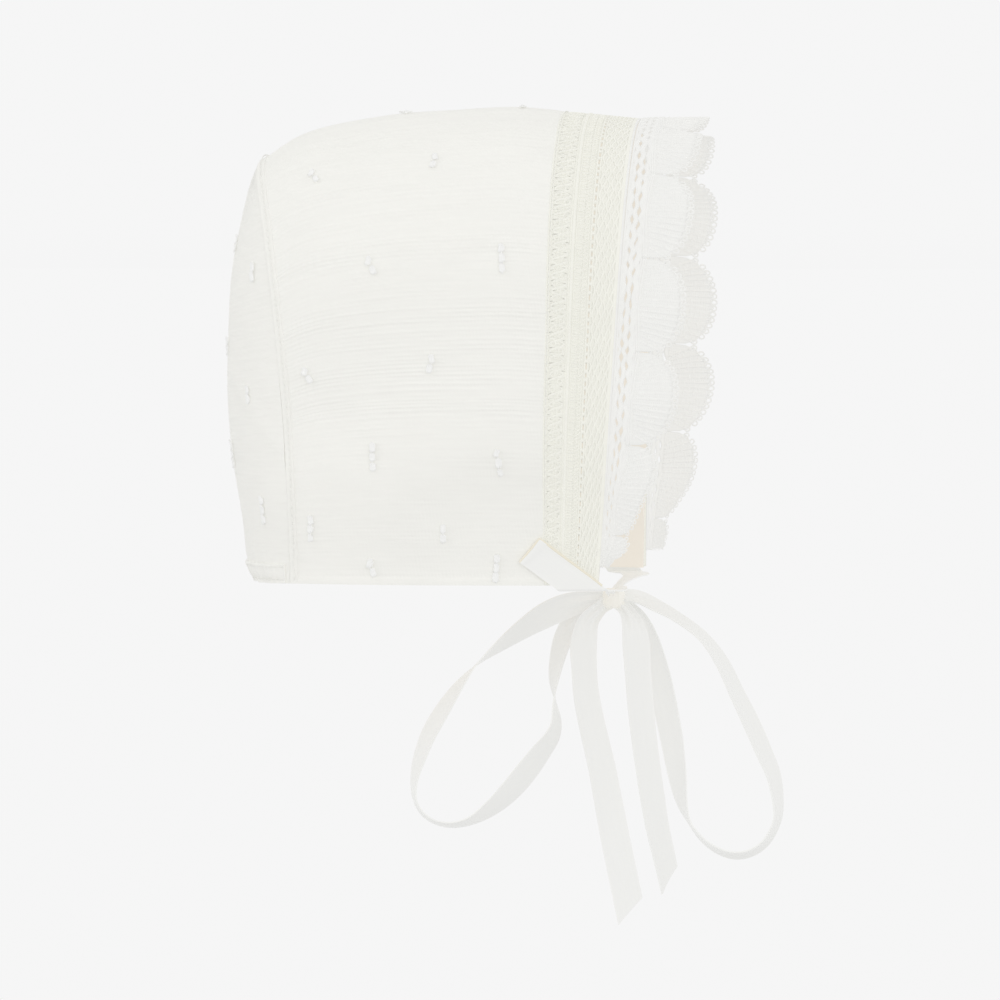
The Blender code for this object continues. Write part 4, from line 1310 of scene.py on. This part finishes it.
def make_ruffle(sizes, finish, web_finish):
    """The gathered lace: a heading, an open mesh of long holes, and fans of ribs crossed by threads."""
    webs = make_webs(web_finish)
    lace = RuffleLace()
    thread, thick = sizes.lace_thread, sizes.lace_thread * 1.7
    lace.edge(0.0, HEADING_WIDTH * 0.6, 0.30)
    lace.edge(0.0003, thread, lift=0.0002)
    lace.edge(HEADING_WIDTH, thick, 0.6, lift=0.0001)
    per_fan = round(FAN_PITCH / sizes.net_period)
    for row, across in enumerate(np.linspace(HEADING_WIDTH + 0.0010, NET_WIDTH - 0.0016, 3)):
        lace.wave(across, 0.00036, per_fan, 0.0018, 0.5 * (row % 2), 131 + 2 * row)
    half = (sizes.fan_ribs - 1) / 2
    whole = math.ceil(RUFFLE_FANS)
    for fan in range(-whole, whole + 1):
        rib = np.arange(sizes.fan_ribs)[:, None] - half
        phase = rib / half * FAN_HALF
        inside = np.abs(fan + phase[:, 0] / 2) < RUFFLE_FANS - 0.01
        if inside.sum() < 2:
            continue
        t = np.linspace(0.0, 1.0, 10)[None, :]
        fans, across = fan_place(fan, phase, t)
        lace.lay(fans[inside], across[inside], thick * mix(0.80, 1.30, t[0]), 0.72, 6, -0.00010)
        angle = np.linspace(0.0, 2 * math.pi, 10)[None, :-1]
        tip = across[:, -1:]
        round_fan = fan + phase / 2 + PICOT * np.sin(angle) / FAN_PITCH * 0.8
        round_across = tip + PICOT * (0.7 - np.cos(angle))
        lace.lay(round_fan[inside], round_across[inside], thread * 1.15, 0.8, 5, ring=True)
        between = np.linspace(-half, half, (sizes.fan_ribs - 1) * 4 + 1)[None, :]
        between = between[:, np.abs(fan + between[0] / half * FAN_HALF / 2) < RUFFLE_FANS - 0.005]
        for row, level in enumerate(np.linspace(0.16, 1.0, sizes.fan_rows)):
            zigzag = np.clip(level + 0.030 * np.cos(math.pi * (between + row)), 0.0, 1.03)
            over = 0.00034 * np.cos(math.pi * (between + row)) - 0.00010
            size = thread if row == sizes.fan_rows - 1 else thread * 0.8
            lace.lay(*fan_place(fan, between / half * FAN_HALF, zigzag), size, 0.8, 5, over)
        trail = np.linspace(-0.5, 0.5, 41)[None, :] + fan
        trail = trail[:, np.abs(trail[0]) < RUFFLE_FANS]
        for step in range(3):
            dip = NET_WIDTH - 0.0016 + 0.00070 * step + 0.0012 * np.abs(2 * (trail - fan)) ** 1.5
            lace.lay(trail, dip, thread * 1.5, 0.7, 5, 0.0001 * step)
    piece = dress(lace.shape.make("ruffle_lace", finish), "lace", "lace_ruffle")


# Ribbons


def knot_centre():
    low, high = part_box("bow_knot")
    return (np.array(low) + np.array(high)) / 2


def spine(points, acrosses, widths, steps):
    """Evenly spaced places along a ribbon, on a smooth curve that meets a few given ones."""
    keys = [namedtuple("Key", "at value")(i, 0.0) for i in range(len(points))]
    fine = np.linspace(0.0, len(points) - 1.0, steps * 4)

    def smooth(values):
        rows = [key._replace(value=value) for key, value in zip(keys, values)]
        return table_curve(rows, "at", "value")(fine)

    place = np.stack([smooth(points[:, k]) for k in range(3)], -1)
    across = np.stack([smooth(acrosses[:, k]) for k in range(3)], -1)
    return lengths(place), place, across, smooth(widths)


def ribbon_sheet(shape, walked, place, across, width, steps, cut=0.0, curl=0.0, seed=1):
    """A ribbon with woven edges. cut slants its free end; curl hollows it across its width."""
    columns = 15
    u = np.linspace(-0.5, 0.5, columns)[None, :]
    share = np.linspace(0.0, 1.0, steps)[:, None]
    at = share * (walked[-1] - cut * RIBBON_WIDTH * u)

    def read(values):
        return np.stack([np.interp(at, walked, values[:, k]) for k in range(values.shape[1])], -1)

    ahead = unit(np.gradient(place, axis=0))
    beyond = np.maximum(at - walked[-1], 0.0)[..., None] * ahead[-1]
    across = unit(across - ahead * (across * ahead).sum(-1, keepdims=True))
    facing = unit(np.cross(ahead, across))
    wide = np.interp(at, walked, width)
    out = unit(read(facing))
    centre = read(place) + beyond
    pinch = 1 - wide / RIBBON_WIDTH
    hollow = curl * (u**2 * 4 - 0.33) + 0.0016 * pinch * np.cos(2 * math.pi * u * 2.0)
    soft = 0.00022 * drift(seed, at / 0.011, u * 1.6) * (1 - 2 * np.abs(u)) ** 0.3
    edge = 0.00005 * (np.abs(u) > 0.44)
    half = 0.00017
    base = centre + unit(read(across)) * (wide * u)[..., None] + out * (hollow + soft)[..., None]
    outer = base + out * (half + edge)[..., None]
    inner = base - out * (half + edge)[..., None]
    places = np.stack([at, np.broadcast_to(u * RIBBON_WIDTH, at.shape)], -1)
    shape.sheet(outer, inner, places)
    return float(walked[-1])


def inside(turn, share=0.4):
    """Where a ribbon's route begins or ends inside the knot."""
    return {"ahead": turn.ahead * share, "left": turn.left * share, "up": turn.up * share}


def make_strand(strand, sizes, finish, seed):
    knot = knot_centre()
    turns = [strand.turns[0]._replace(**inside(strand.turns[0])), *strand.turns]
    if not strand.cut:
        turns.append(strand.turns[-1]._replace(**inside(strand.turns[-1])))
    points = knot + BOW_SIZE * np.array([(turn.ahead, turn.left, turn.up) for turn in turns])
    going = points[2:] - points[:-2]
    going = np.concatenate([points[1:2] - points[:1], going, points[-1:] - points[-2:-1]])
    sideways = np.array([0.0, 1.0, 0.0])
    in_plane = unit(np.cross(going, sideways))
    face = np.radians([turn.face for turn in turns])[:, None]
    acrosses = in_plane * np.cos(face) + sideways * np.sin(face)
    widths = RIBBON_WIDTH * np.array([turn.pinch for turn in turns])
    steps = len(turns) * 12
    walked, place, across, width = spine(points, acrosses, widths, steps)
    shape = Shape()
    length = ribbon_sheet(shape, walked, place, across, width, steps, strand.cut, sizes.ribbon_curl, seed)
    piece = dress(shape.make(strand.name, finish, 50), "ribbon", strand.node)


def make_knot(finish):
    """The ribbon wrapped round the crossing strands, with folds that run round it."""
    around = np.linspace(0.0, 2 * math.pi, 73)[:-1]
    across = np.linspace(-1.0, 1.0, 41)
    half = KNOT_SIZE / 2
    angle, u = np.meshgrid(around, across, indexing="ij")
    power = 2 / 3.4
    ring_y = np.sign(np.cos(angle)) * np.abs(np.cos(angle)) ** power
    ring_z = np.sign(np.sin(angle)) * np.abs(np.sin(angle)) ** power
    shut = np.clip(1 - np.abs(u) ** 5, 0.0, 1.0) ** 0.5
    folds = 0.018 * np.cos(3.3 * math.pi * u + 0.5 * np.sin(angle))
    folds = folds + 0.006 * np.cos(6.1 * math.pi * u + angle)
    size = half * (0.98 + folds) * mix(0.45, 1.0, shut)
    points = np.stack([half * 1.12 * u, size * 0.98 * ring_y, size * 1.04 * ring_z], -1) + knot_centre()
    count, columns = points.shape[:2]
    index = np.arange(count * columns).reshape(count, columns)
    after = np.roll(index, -1, axis=0)
    quads = np.stack([index[:, :-1], after[:, :-1], after[:, 1:], index[:, 1:]], -1).reshape(-1, 4)
    places = np.stack([angle * half, u * half], -1)
    shape = Shape()
    shape.add(points, places, quads, index[::-1, 0][None], index[:, -1][None])
    dress(shape.make("ribbon_knot", finish, 70), "ribbon", "bow_knot")


def side_place(side, behind, above, height):
    """A place over a side of the crown. Below the hem it turns under and goes inward."""
    along = behind / depth_at(side * 1.0)
    top = CROWN_TOP - CROWN_HEIGHT * TOP_DROP(along)
    drop = 1 - np.maximum(0.0, above) / (top - HEM)
    share = np.interp(drop, SECTION_DROP, SECTION_LENGTH) / FRONT_LENGTH
    place = over_crown(side * share, along, height)
    radius = height - OUTER
    straight = np.clip(-above, 0.0, TIE_DROOP)
    under = np.maximum(0.0, -above - TIE_DROOP)
    turn = np.minimum(math.pi / 2, under / radius)
    inward = np.maximum(0.0, under - radius * math.pi / 2)
    sideways = -side * (radius * (1 - np.cos(turn)) + inward)
    return place + np.stack([0.0 * above, sideways, -radius * np.sin(turn) - straight], -1)


def make_tie(tie, finish, shade_line_finish):
    """A ribbon sewn slantwise to the front corner, which turns under the hem and goes in to the knot."""
    columns, sewn, turned, free = 15, 26, 10, 40
    height = TRIM + 0.0005
    going = unit(np.array([tie.hem_behind - tie.start_behind, -tie.start_above]))
    u = np.linspace(-0.5, 0.5, columns)[None, :]
    start_behind = tie.start_behind - going[1] * RIBBON_WIDTH * u
    start_above = tie.start_above + going[0] * RIBBON_WIDTH * u
    quarter = (height - OUTER) * math.pi / 2 + TIE_DROOP
    whole = (start_above.max() + quarter) / -going[1] + TIE_UNDER
    down = start_above / -going[1]
    low = (start_above + quarter) / -going[1]
    walked = np.concatenate(
        [
            down * np.linspace(0.0, 1.0, sewn)[:, None],
            mix(down, low, np.linspace(0.0, 1.0, turned)[1:, None]),
            mix(low, whole, np.linspace(0.0, 1.0, 6)[1:, None]),
        ]
    )
    rows = side_place(tie.side, start_behind + going[0] * walked, start_above + going[1] * walked, height)
    middle = rows[-1, columns // 2]
    across = unit(rows[-1, -1] - rows[-1, 0])
    end = knot_centre() + np.array([0.0, tie.side * 0.22, 0.24]) * KNOT_SIZE
    reach = np.linalg.norm(end - middle) * 0.4
    arriving = unit(np.array([0.0, -tie.side, -0.30]))
    leaving = np.array([-going[0], tie.side * going[1], -0.15])
    controls = np.stack([middle, middle + leaving * reach * 0.5, end - arriving * reach, end])
    t = np.linspace(0.0, 1.0, free)[1:, None]
    weights = np.concatenate([(1 - t) ** 3, 3 * t * (1 - t) ** 2, 3 * t * t * (1 - t), t**3], axis=1)
    line = weights @ controls
    turned_across = unit(mix(across, np.array([-0.9, 0.0, -0.45]), ease(t)))
    width = RIBBON_WIDTH * mix(1.0, 0.8 * KNOT_PINCH, ease((t - 0.3) / 0.7))
    hanging = line[:, None] + turned_across[:, None] * (width * u)[..., None]
    grid = np.concatenate([rows, hanging])
    facing = unit(np.cross(np.gradient(grid, axis=0), np.gradient(grid, axis=1)))
    if (facing[0, columns // 2] * crown_out(np.array(tie.side * 0.9), np.array(0.1))).sum() < 0:
        facing = -facing
    gone = lengths(grid[:, columns // 2])[:, None]
    folded = 0.00045 * hump(gone, 0.0012, 0.0012)
    free_part = ease((gone - walked.max()) / 0.004)
    fold = free_part * 0.0004 * ease(gone / gone[-1] * 1.4 - 0.4) * np.cos(4 * math.pi * u)
    soft = 0.00014 * drift(103 + tie.side, gone / 0.008, u * 2)
    lift = folded + fold + soft
    outer = grid + facing * (lift + 0.00024)[..., None]
    inner = grid + facing * (lift * mix(0.0, 1.0, free_part) - 0.00022)[..., None]
    piece = cloth_piece(tie.name, tie.node, "ribbon", finish, outer, inner, gone, u * RIBBON_WIDTH, 50)
    # A thin thread along the sewn end and the upper edge stands for the turned-in end; its darker, warmer
    # finish is painted shade, the shadow line between the tie and the lace.
    edge = np.concatenate([grid[sewn - 1 : 0 : -1, 0], grid[0]])
    out = np.concatenate([facing[sewn - 1 : 0 : -1, 0], facing[0]])
    fold = Shape()
    fold.threads([edge + out * 0.0001], 0.00042, 8)
    hem = dress(fold.make(tie.name + "_fold", shade_line_finish, 60), "ribbon")


# The sizes and colours that a user would change


def length_setting(name, description, default, high=0.02):
    limits = {"min": 0.00001, "max": high, "precision": 5, "unit": "LENGTH"}
    return bpy.props.FloatProperty(name=name, description=description, default=default, **limits)


def count_setting(name, description, default, low, high):
    return bpy.props.IntProperty(name=name, description=description, default=default, min=low, max=high)


def colour_setting(name, description, default):
    return bpy.props.FloatVectorProperty(
        name=name, description=description, default=default, min=0.0, max=1.0, size=3, subtype="COLOR"
    )


class BonnetSizes(bpy.types.PropertyGroup):
    """Sizes of the fine detail."""

    rib_pitch: length_setting("Rib pitch", "Space between the slubs of the gauze", 0.0015)
    rib_height: length_setting("Rib height", "How far the slubs stand out", 0.00030)
    dot_length: length_setting("Dot length", "Length of a raised dot", 0.0068)
    dot_thread: length_setting("Dot thread", "Radius of a clipped thread", 0.00020)
    stitch_thread: length_setting("Stitch thread", "Radius of the sewing thread", 0.00013)
    lace_thread: length_setting("Lace thread", "Radius of the lace's middle thread", 0.00027)
    scroll_period: length_setting("Scroll period", "Length of one scroll of the lace band", 0.0050)
    net_period: length_setting("Net period", "Length of one hole of the lace's mesh", 0.0051)
    ribbon_curl: length_setting("Ribbon curl", "How far a ribbon hollows across its width", 0.00035)
    floor_drop: length_setting("Floor drop", "Space between the bow and the floor", 0.12, 2.0)
    fan_ribs: count_setting("Fan ribs", "Ribs in each fan", 15, 5, 31)
    fan_rows: count_setting("Fan rows", "Threads across a fan's ribs", 8, 2, 16)


class BonnetColours(bpy.types.PropertyGroup):
    """Colours of the cloths, and the studio's lights."""

    gauze: colour_setting("Gauze", "Crown and back", (0.93, 0.925, 0.885))
    dots: colour_setting("Dots", "Clipped threads of the dots", (0.95, 0.95, 0.935))
    lining: colour_setting("Lining", "Inner layer", (0.93, 0.88, 0.80))
    band: colour_setting("Band", "Lace sewn flat round the face", (0.945, 0.94, 0.87))
    ruffle: colour_setting("Ruffle", "Lace that stands out round the face", (0.94, 0.938, 0.915))
    ribbon: colour_setting("Ribbon", "Ties and bow", (0.905, 0.905, 0.885))
    # A brighter, warmer copy of the ribbon's colour for the same ribbon: painted light that lifts the knot
    # out of its shade.
    knot: colour_setting("Ribbon knot", "The bow's wrapped middle", (0.945, 0.925, 0.865))
    # Darker and warmer than the ribbon: painted shade for the shadow line along the ties' sewn ends.
    fold: colour_setting("Ribbon fold", "Turned-in ends of the ties", (0.88, 0.83, 0.70))
    floor: colour_setting("Floor", "Floor and backdrop", (0.92, 0.92, 0.92))
    key_power: bpy.props.FloatProperty(
        name="Key light", description="Strength of the main light", default=5.4, unit="POWER"
    )


# Operators


class BonnetPiece:
    """What the operators share."""

    bl_options = {"REGISTER", "UNDO"}

    def execute(self, context):
        self.make(context.scene.bonnet_sizes, context.scene.bonnet_colours)
        return {"FINISHED"}


class BONNET_OT_gauze(BonnetPiece, bpy.types.Operator):
    """Make the crown's and the back's gauze, the back seam, the nape gathers and the stitches"""

    bl_idname = "bonnet.gauze"
    bl_label = "Gauze Panels"

    def make(self, sizes, colours):
        finish = gauze_finish(colours.gauze)
        make_crown_gauze(sizes, finish)
        make_back_gauze(sizes, finish)
        make_seam(finish)
        make_casing(finish)
        make_stitches(sizes, finish)


class BONNET_OT_dots(BonnetPiece, bpy.types.Operator):
    """Make the raised dots of clipped thread"""

    bl_idname = "bonnet.dots"
    bl_label = "Raised Dots"

    def make(self, sizes, colours):
        make_dots(sizes, dot_finish(colours.dots))


class BONNET_OT_lining(BonnetPiece, bpy.types.Operator):
    """Make the smooth inner layer of the crown and the back"""

    bl_idname = "bonnet.lining"
    bl_label = "Lining"

    def make(self, sizes, colours):
        make_linings(lining_finish(colours.lining))


class BONNET_OT_band(BonnetPiece, bpy.types.Operator):
    """Make the lace that is sewn flat round the face"""

    bl_idname = "bonnet.band"
    bl_label = "Lace Band"

    def make(self, sizes, colours):
        # Shares of the colour painted as glow, which lifts the lace's shade: 0.45 for the thread, 0.55 for
        # the mesh.
        finish = lace_finish("band_thread", colours.band, 0.45)
        make_band(sizes, finish, mesh_finish("band_mesh", colours.band, 0.55))


class BONNET_OT_ruffle(BonnetPiece, bpy.types.Operator):
    """Make the lace ruffle with its fans"""

    bl_idname = "bonnet.ruffle"
    bl_label = "Lace Ruffle"

    def make(self, sizes, colours):
        # Shares of the colour painted as glow, which lifts the lace's shade: 0.65 for the mesh, 0.58 for the
        # thread.
        finish = mesh_finish("fan_mesh", colours.ruffle, 0.65)
        make_ruffle(sizes, lace_finish("ruffle_thread", colours.ruffle, 0.58), finish)


class BONNET_OT_ribbons(BonnetPiece, bpy.types.Operator):
    """Make the two ties and the bow"""

    bl_idname = "bonnet.ribbons"
    bl_label = "Ties and Bow"

    def make(self, sizes, colours):
        finish = ribbon_finish("ribbon", colours.ribbon)
        # The ties' edge threads wear a darker, warmer ribbon colour: painted shade for the shadow line along
        # their sewn ends.
        shade_line_finish = ribbon_finish("ribbon_fold", colours.fold)
        for tie in TIES:
            make_tie(tie, finish, shade_line_finish)
        # The knot wears its own brighter, warmer ribbon colour and a larger glow share: painted light that
        # lifts the shade round it.
        make_knot(ribbon_finish("ribbon_knot", colours.knot, 0.40))
        for seed, strand in enumerate(STRANDS):
            make_strand(strand, sizes, finish, 111 + seed)


class BONNET_OT_stage(BonnetPiece, bpy.types.Operator):
    """Make the floor, the lights and the camera"""

    bl_idname = "bonnet.stage"
    bl_label = "Studio"

    def make(self, sizes, colours):
        make_floor(sizes.floor_drop, colours.floor)
        make_lights(colours.key_power, colours.floor)
        make_camera()


def make_floor(drop, colour):
    half, low = FLOOR_HALF, CAD_BOX[0][2] - drop
    mesh = bpy.data.meshes.new("floor")
    corners = [(-half, -half, low), (half, -half, low), (half, half, low), (-half, half, low)]
    mesh.from_pydata(corners, [], [(0, 1, 2, 3)])
    mesh.materials.append(floor_finish(colour, 1.0))
    floor = bpy.data.objects.new("floor", mesh)
    bpy.context.scene.collection.objects.link(floor)
    floor.visible_diffuse = False  # what lights the cloth from below is the backdrop


def area_light(name, power, size, place, target):
    lamp = bpy.data.lights.new(name, "AREA")
    lamp.energy, lamp.size = power, size
    light = bpy.data.objects.new(name, lamp)
    light.location = place
    light.rotation_euler = (Vector(target) - Vector(place)).to_track_quat("-Z", "Y").to_euler()
    bpy.context.scene.collection.objects.link(light)


def make_lights(power, colour):
    """Light from all round, brightest at the backdrop, and two large soft lamps."""
    world = bpy.data.worlds.new("studio")
    world.use_nodes = True
    nodes = Nodes(world.node_tree)
    facing = nodes.node("ShaderNodeTexCoord", None, None, "Generated")
    up = nodes.node("ShaderNodeSeparateXYZ", None, {"Vector": facing}, 2)
    upper = nodes.blended((1.02 - up * up * 3.0).held(), shade(colour, 0.95), colour)
    light = nodes.blended((1.0 + up * 4.0).held(), shade(colour, 0.80), upper)
    nodes.feed(world.node_tree.nodes["Background"].inputs["Color"], light)
    bpy.context.scene.world = world
    area_light("key", power, 1.5, KEY_PLACE, CAMERA_TARGET)
    area_light("fill", power * FILL_SHARE, 1.2, FILL_PLACE, CAMERA_TARGET)
    view = bpy.context.scene.view_settings
    view.view_transform = "Standard"
    view.look = "None"


def make_camera():
    azimuth, elevation = math.radians(CAMERA_AZIMUTH), math.radians(CAMERA_ELEVATION)
    back_from = Vector(
        (
            math.sin(azimuth) * math.cos(elevation),
            -math.cos(azimuth) * math.cos(elevation),
            math.sin(elevation),
        )
    )
    lens = bpy.data.cameras.new("camera")
    lens.lens = CAMERA_LENS
    lens.sensor_width = 36.0
    camera = bpy.data.objects.new("camera", lens)
    camera.location = Vector(CAMERA_TARGET) + back_from * CAMERA_DISTANCE
    camera.rotation_euler = (-back_from).to_track_quat("-Z", "Y").to_euler()
    bpy.context.scene.collection.objects.link(camera)
    bpy.context.scene.camera = camera


OPERATORS = (
    BONNET_OT_gauze,
    BONNET_OT_dots,
    BONNET_OT_lining,
    BONNET_OT_band,
    BONNET_OT_ruffle,
    BONNET_OT_ribbons,
    BONNET_OT_stage,
)


class BONNET_PT_panel(bpy.types.Panel):
    """Sizes, colours and a button for each group of pieces."""

    bl_label = "Baby Bonnet"
    bl_idname = "BONNET_PT_panel"
    bl_space_type = "VIEW_3D"
    bl_region_type = "UI"
    bl_category = "Bonnet"

    def draw(self, context):
        for group in (context.scene.bonnet_sizes, context.scene.bonnet_colours):
            box = self.layout.box()
            for name in group.__annotations__:
                box.prop(group, name)
        column = self.layout.column(align=True)
        for operator in OPERATORS:
            column.operator(operator.bl_idname)


CLASSES = (BonnetSizes, BonnetColours, *OPERATORS, BONNET_PT_panel)


def register():
    for item in CLASSES:
        bpy.utils.register_class(item)
    bpy.types.Scene.bonnet_sizes = bpy.props.PointerProperty(type=BonnetSizes)
    bpy.types.Scene.bonnet_colours = bpy.props.PointerProperty(type=BonnetColours)


def unregister():
    del bpy.types.Scene.bonnet_colours
    del bpy.types.Scene.bonnet_sizes
    for item in reversed(CLASSES):
        bpy.utils.unregister_class(item)


def main():
    register()
    for operator in OPERATORS:
        family, name = operator.bl_idname.split(".")
        getattr(getattr(bpy.ops, family), name)()


if __name__ == "__main__":
    main()
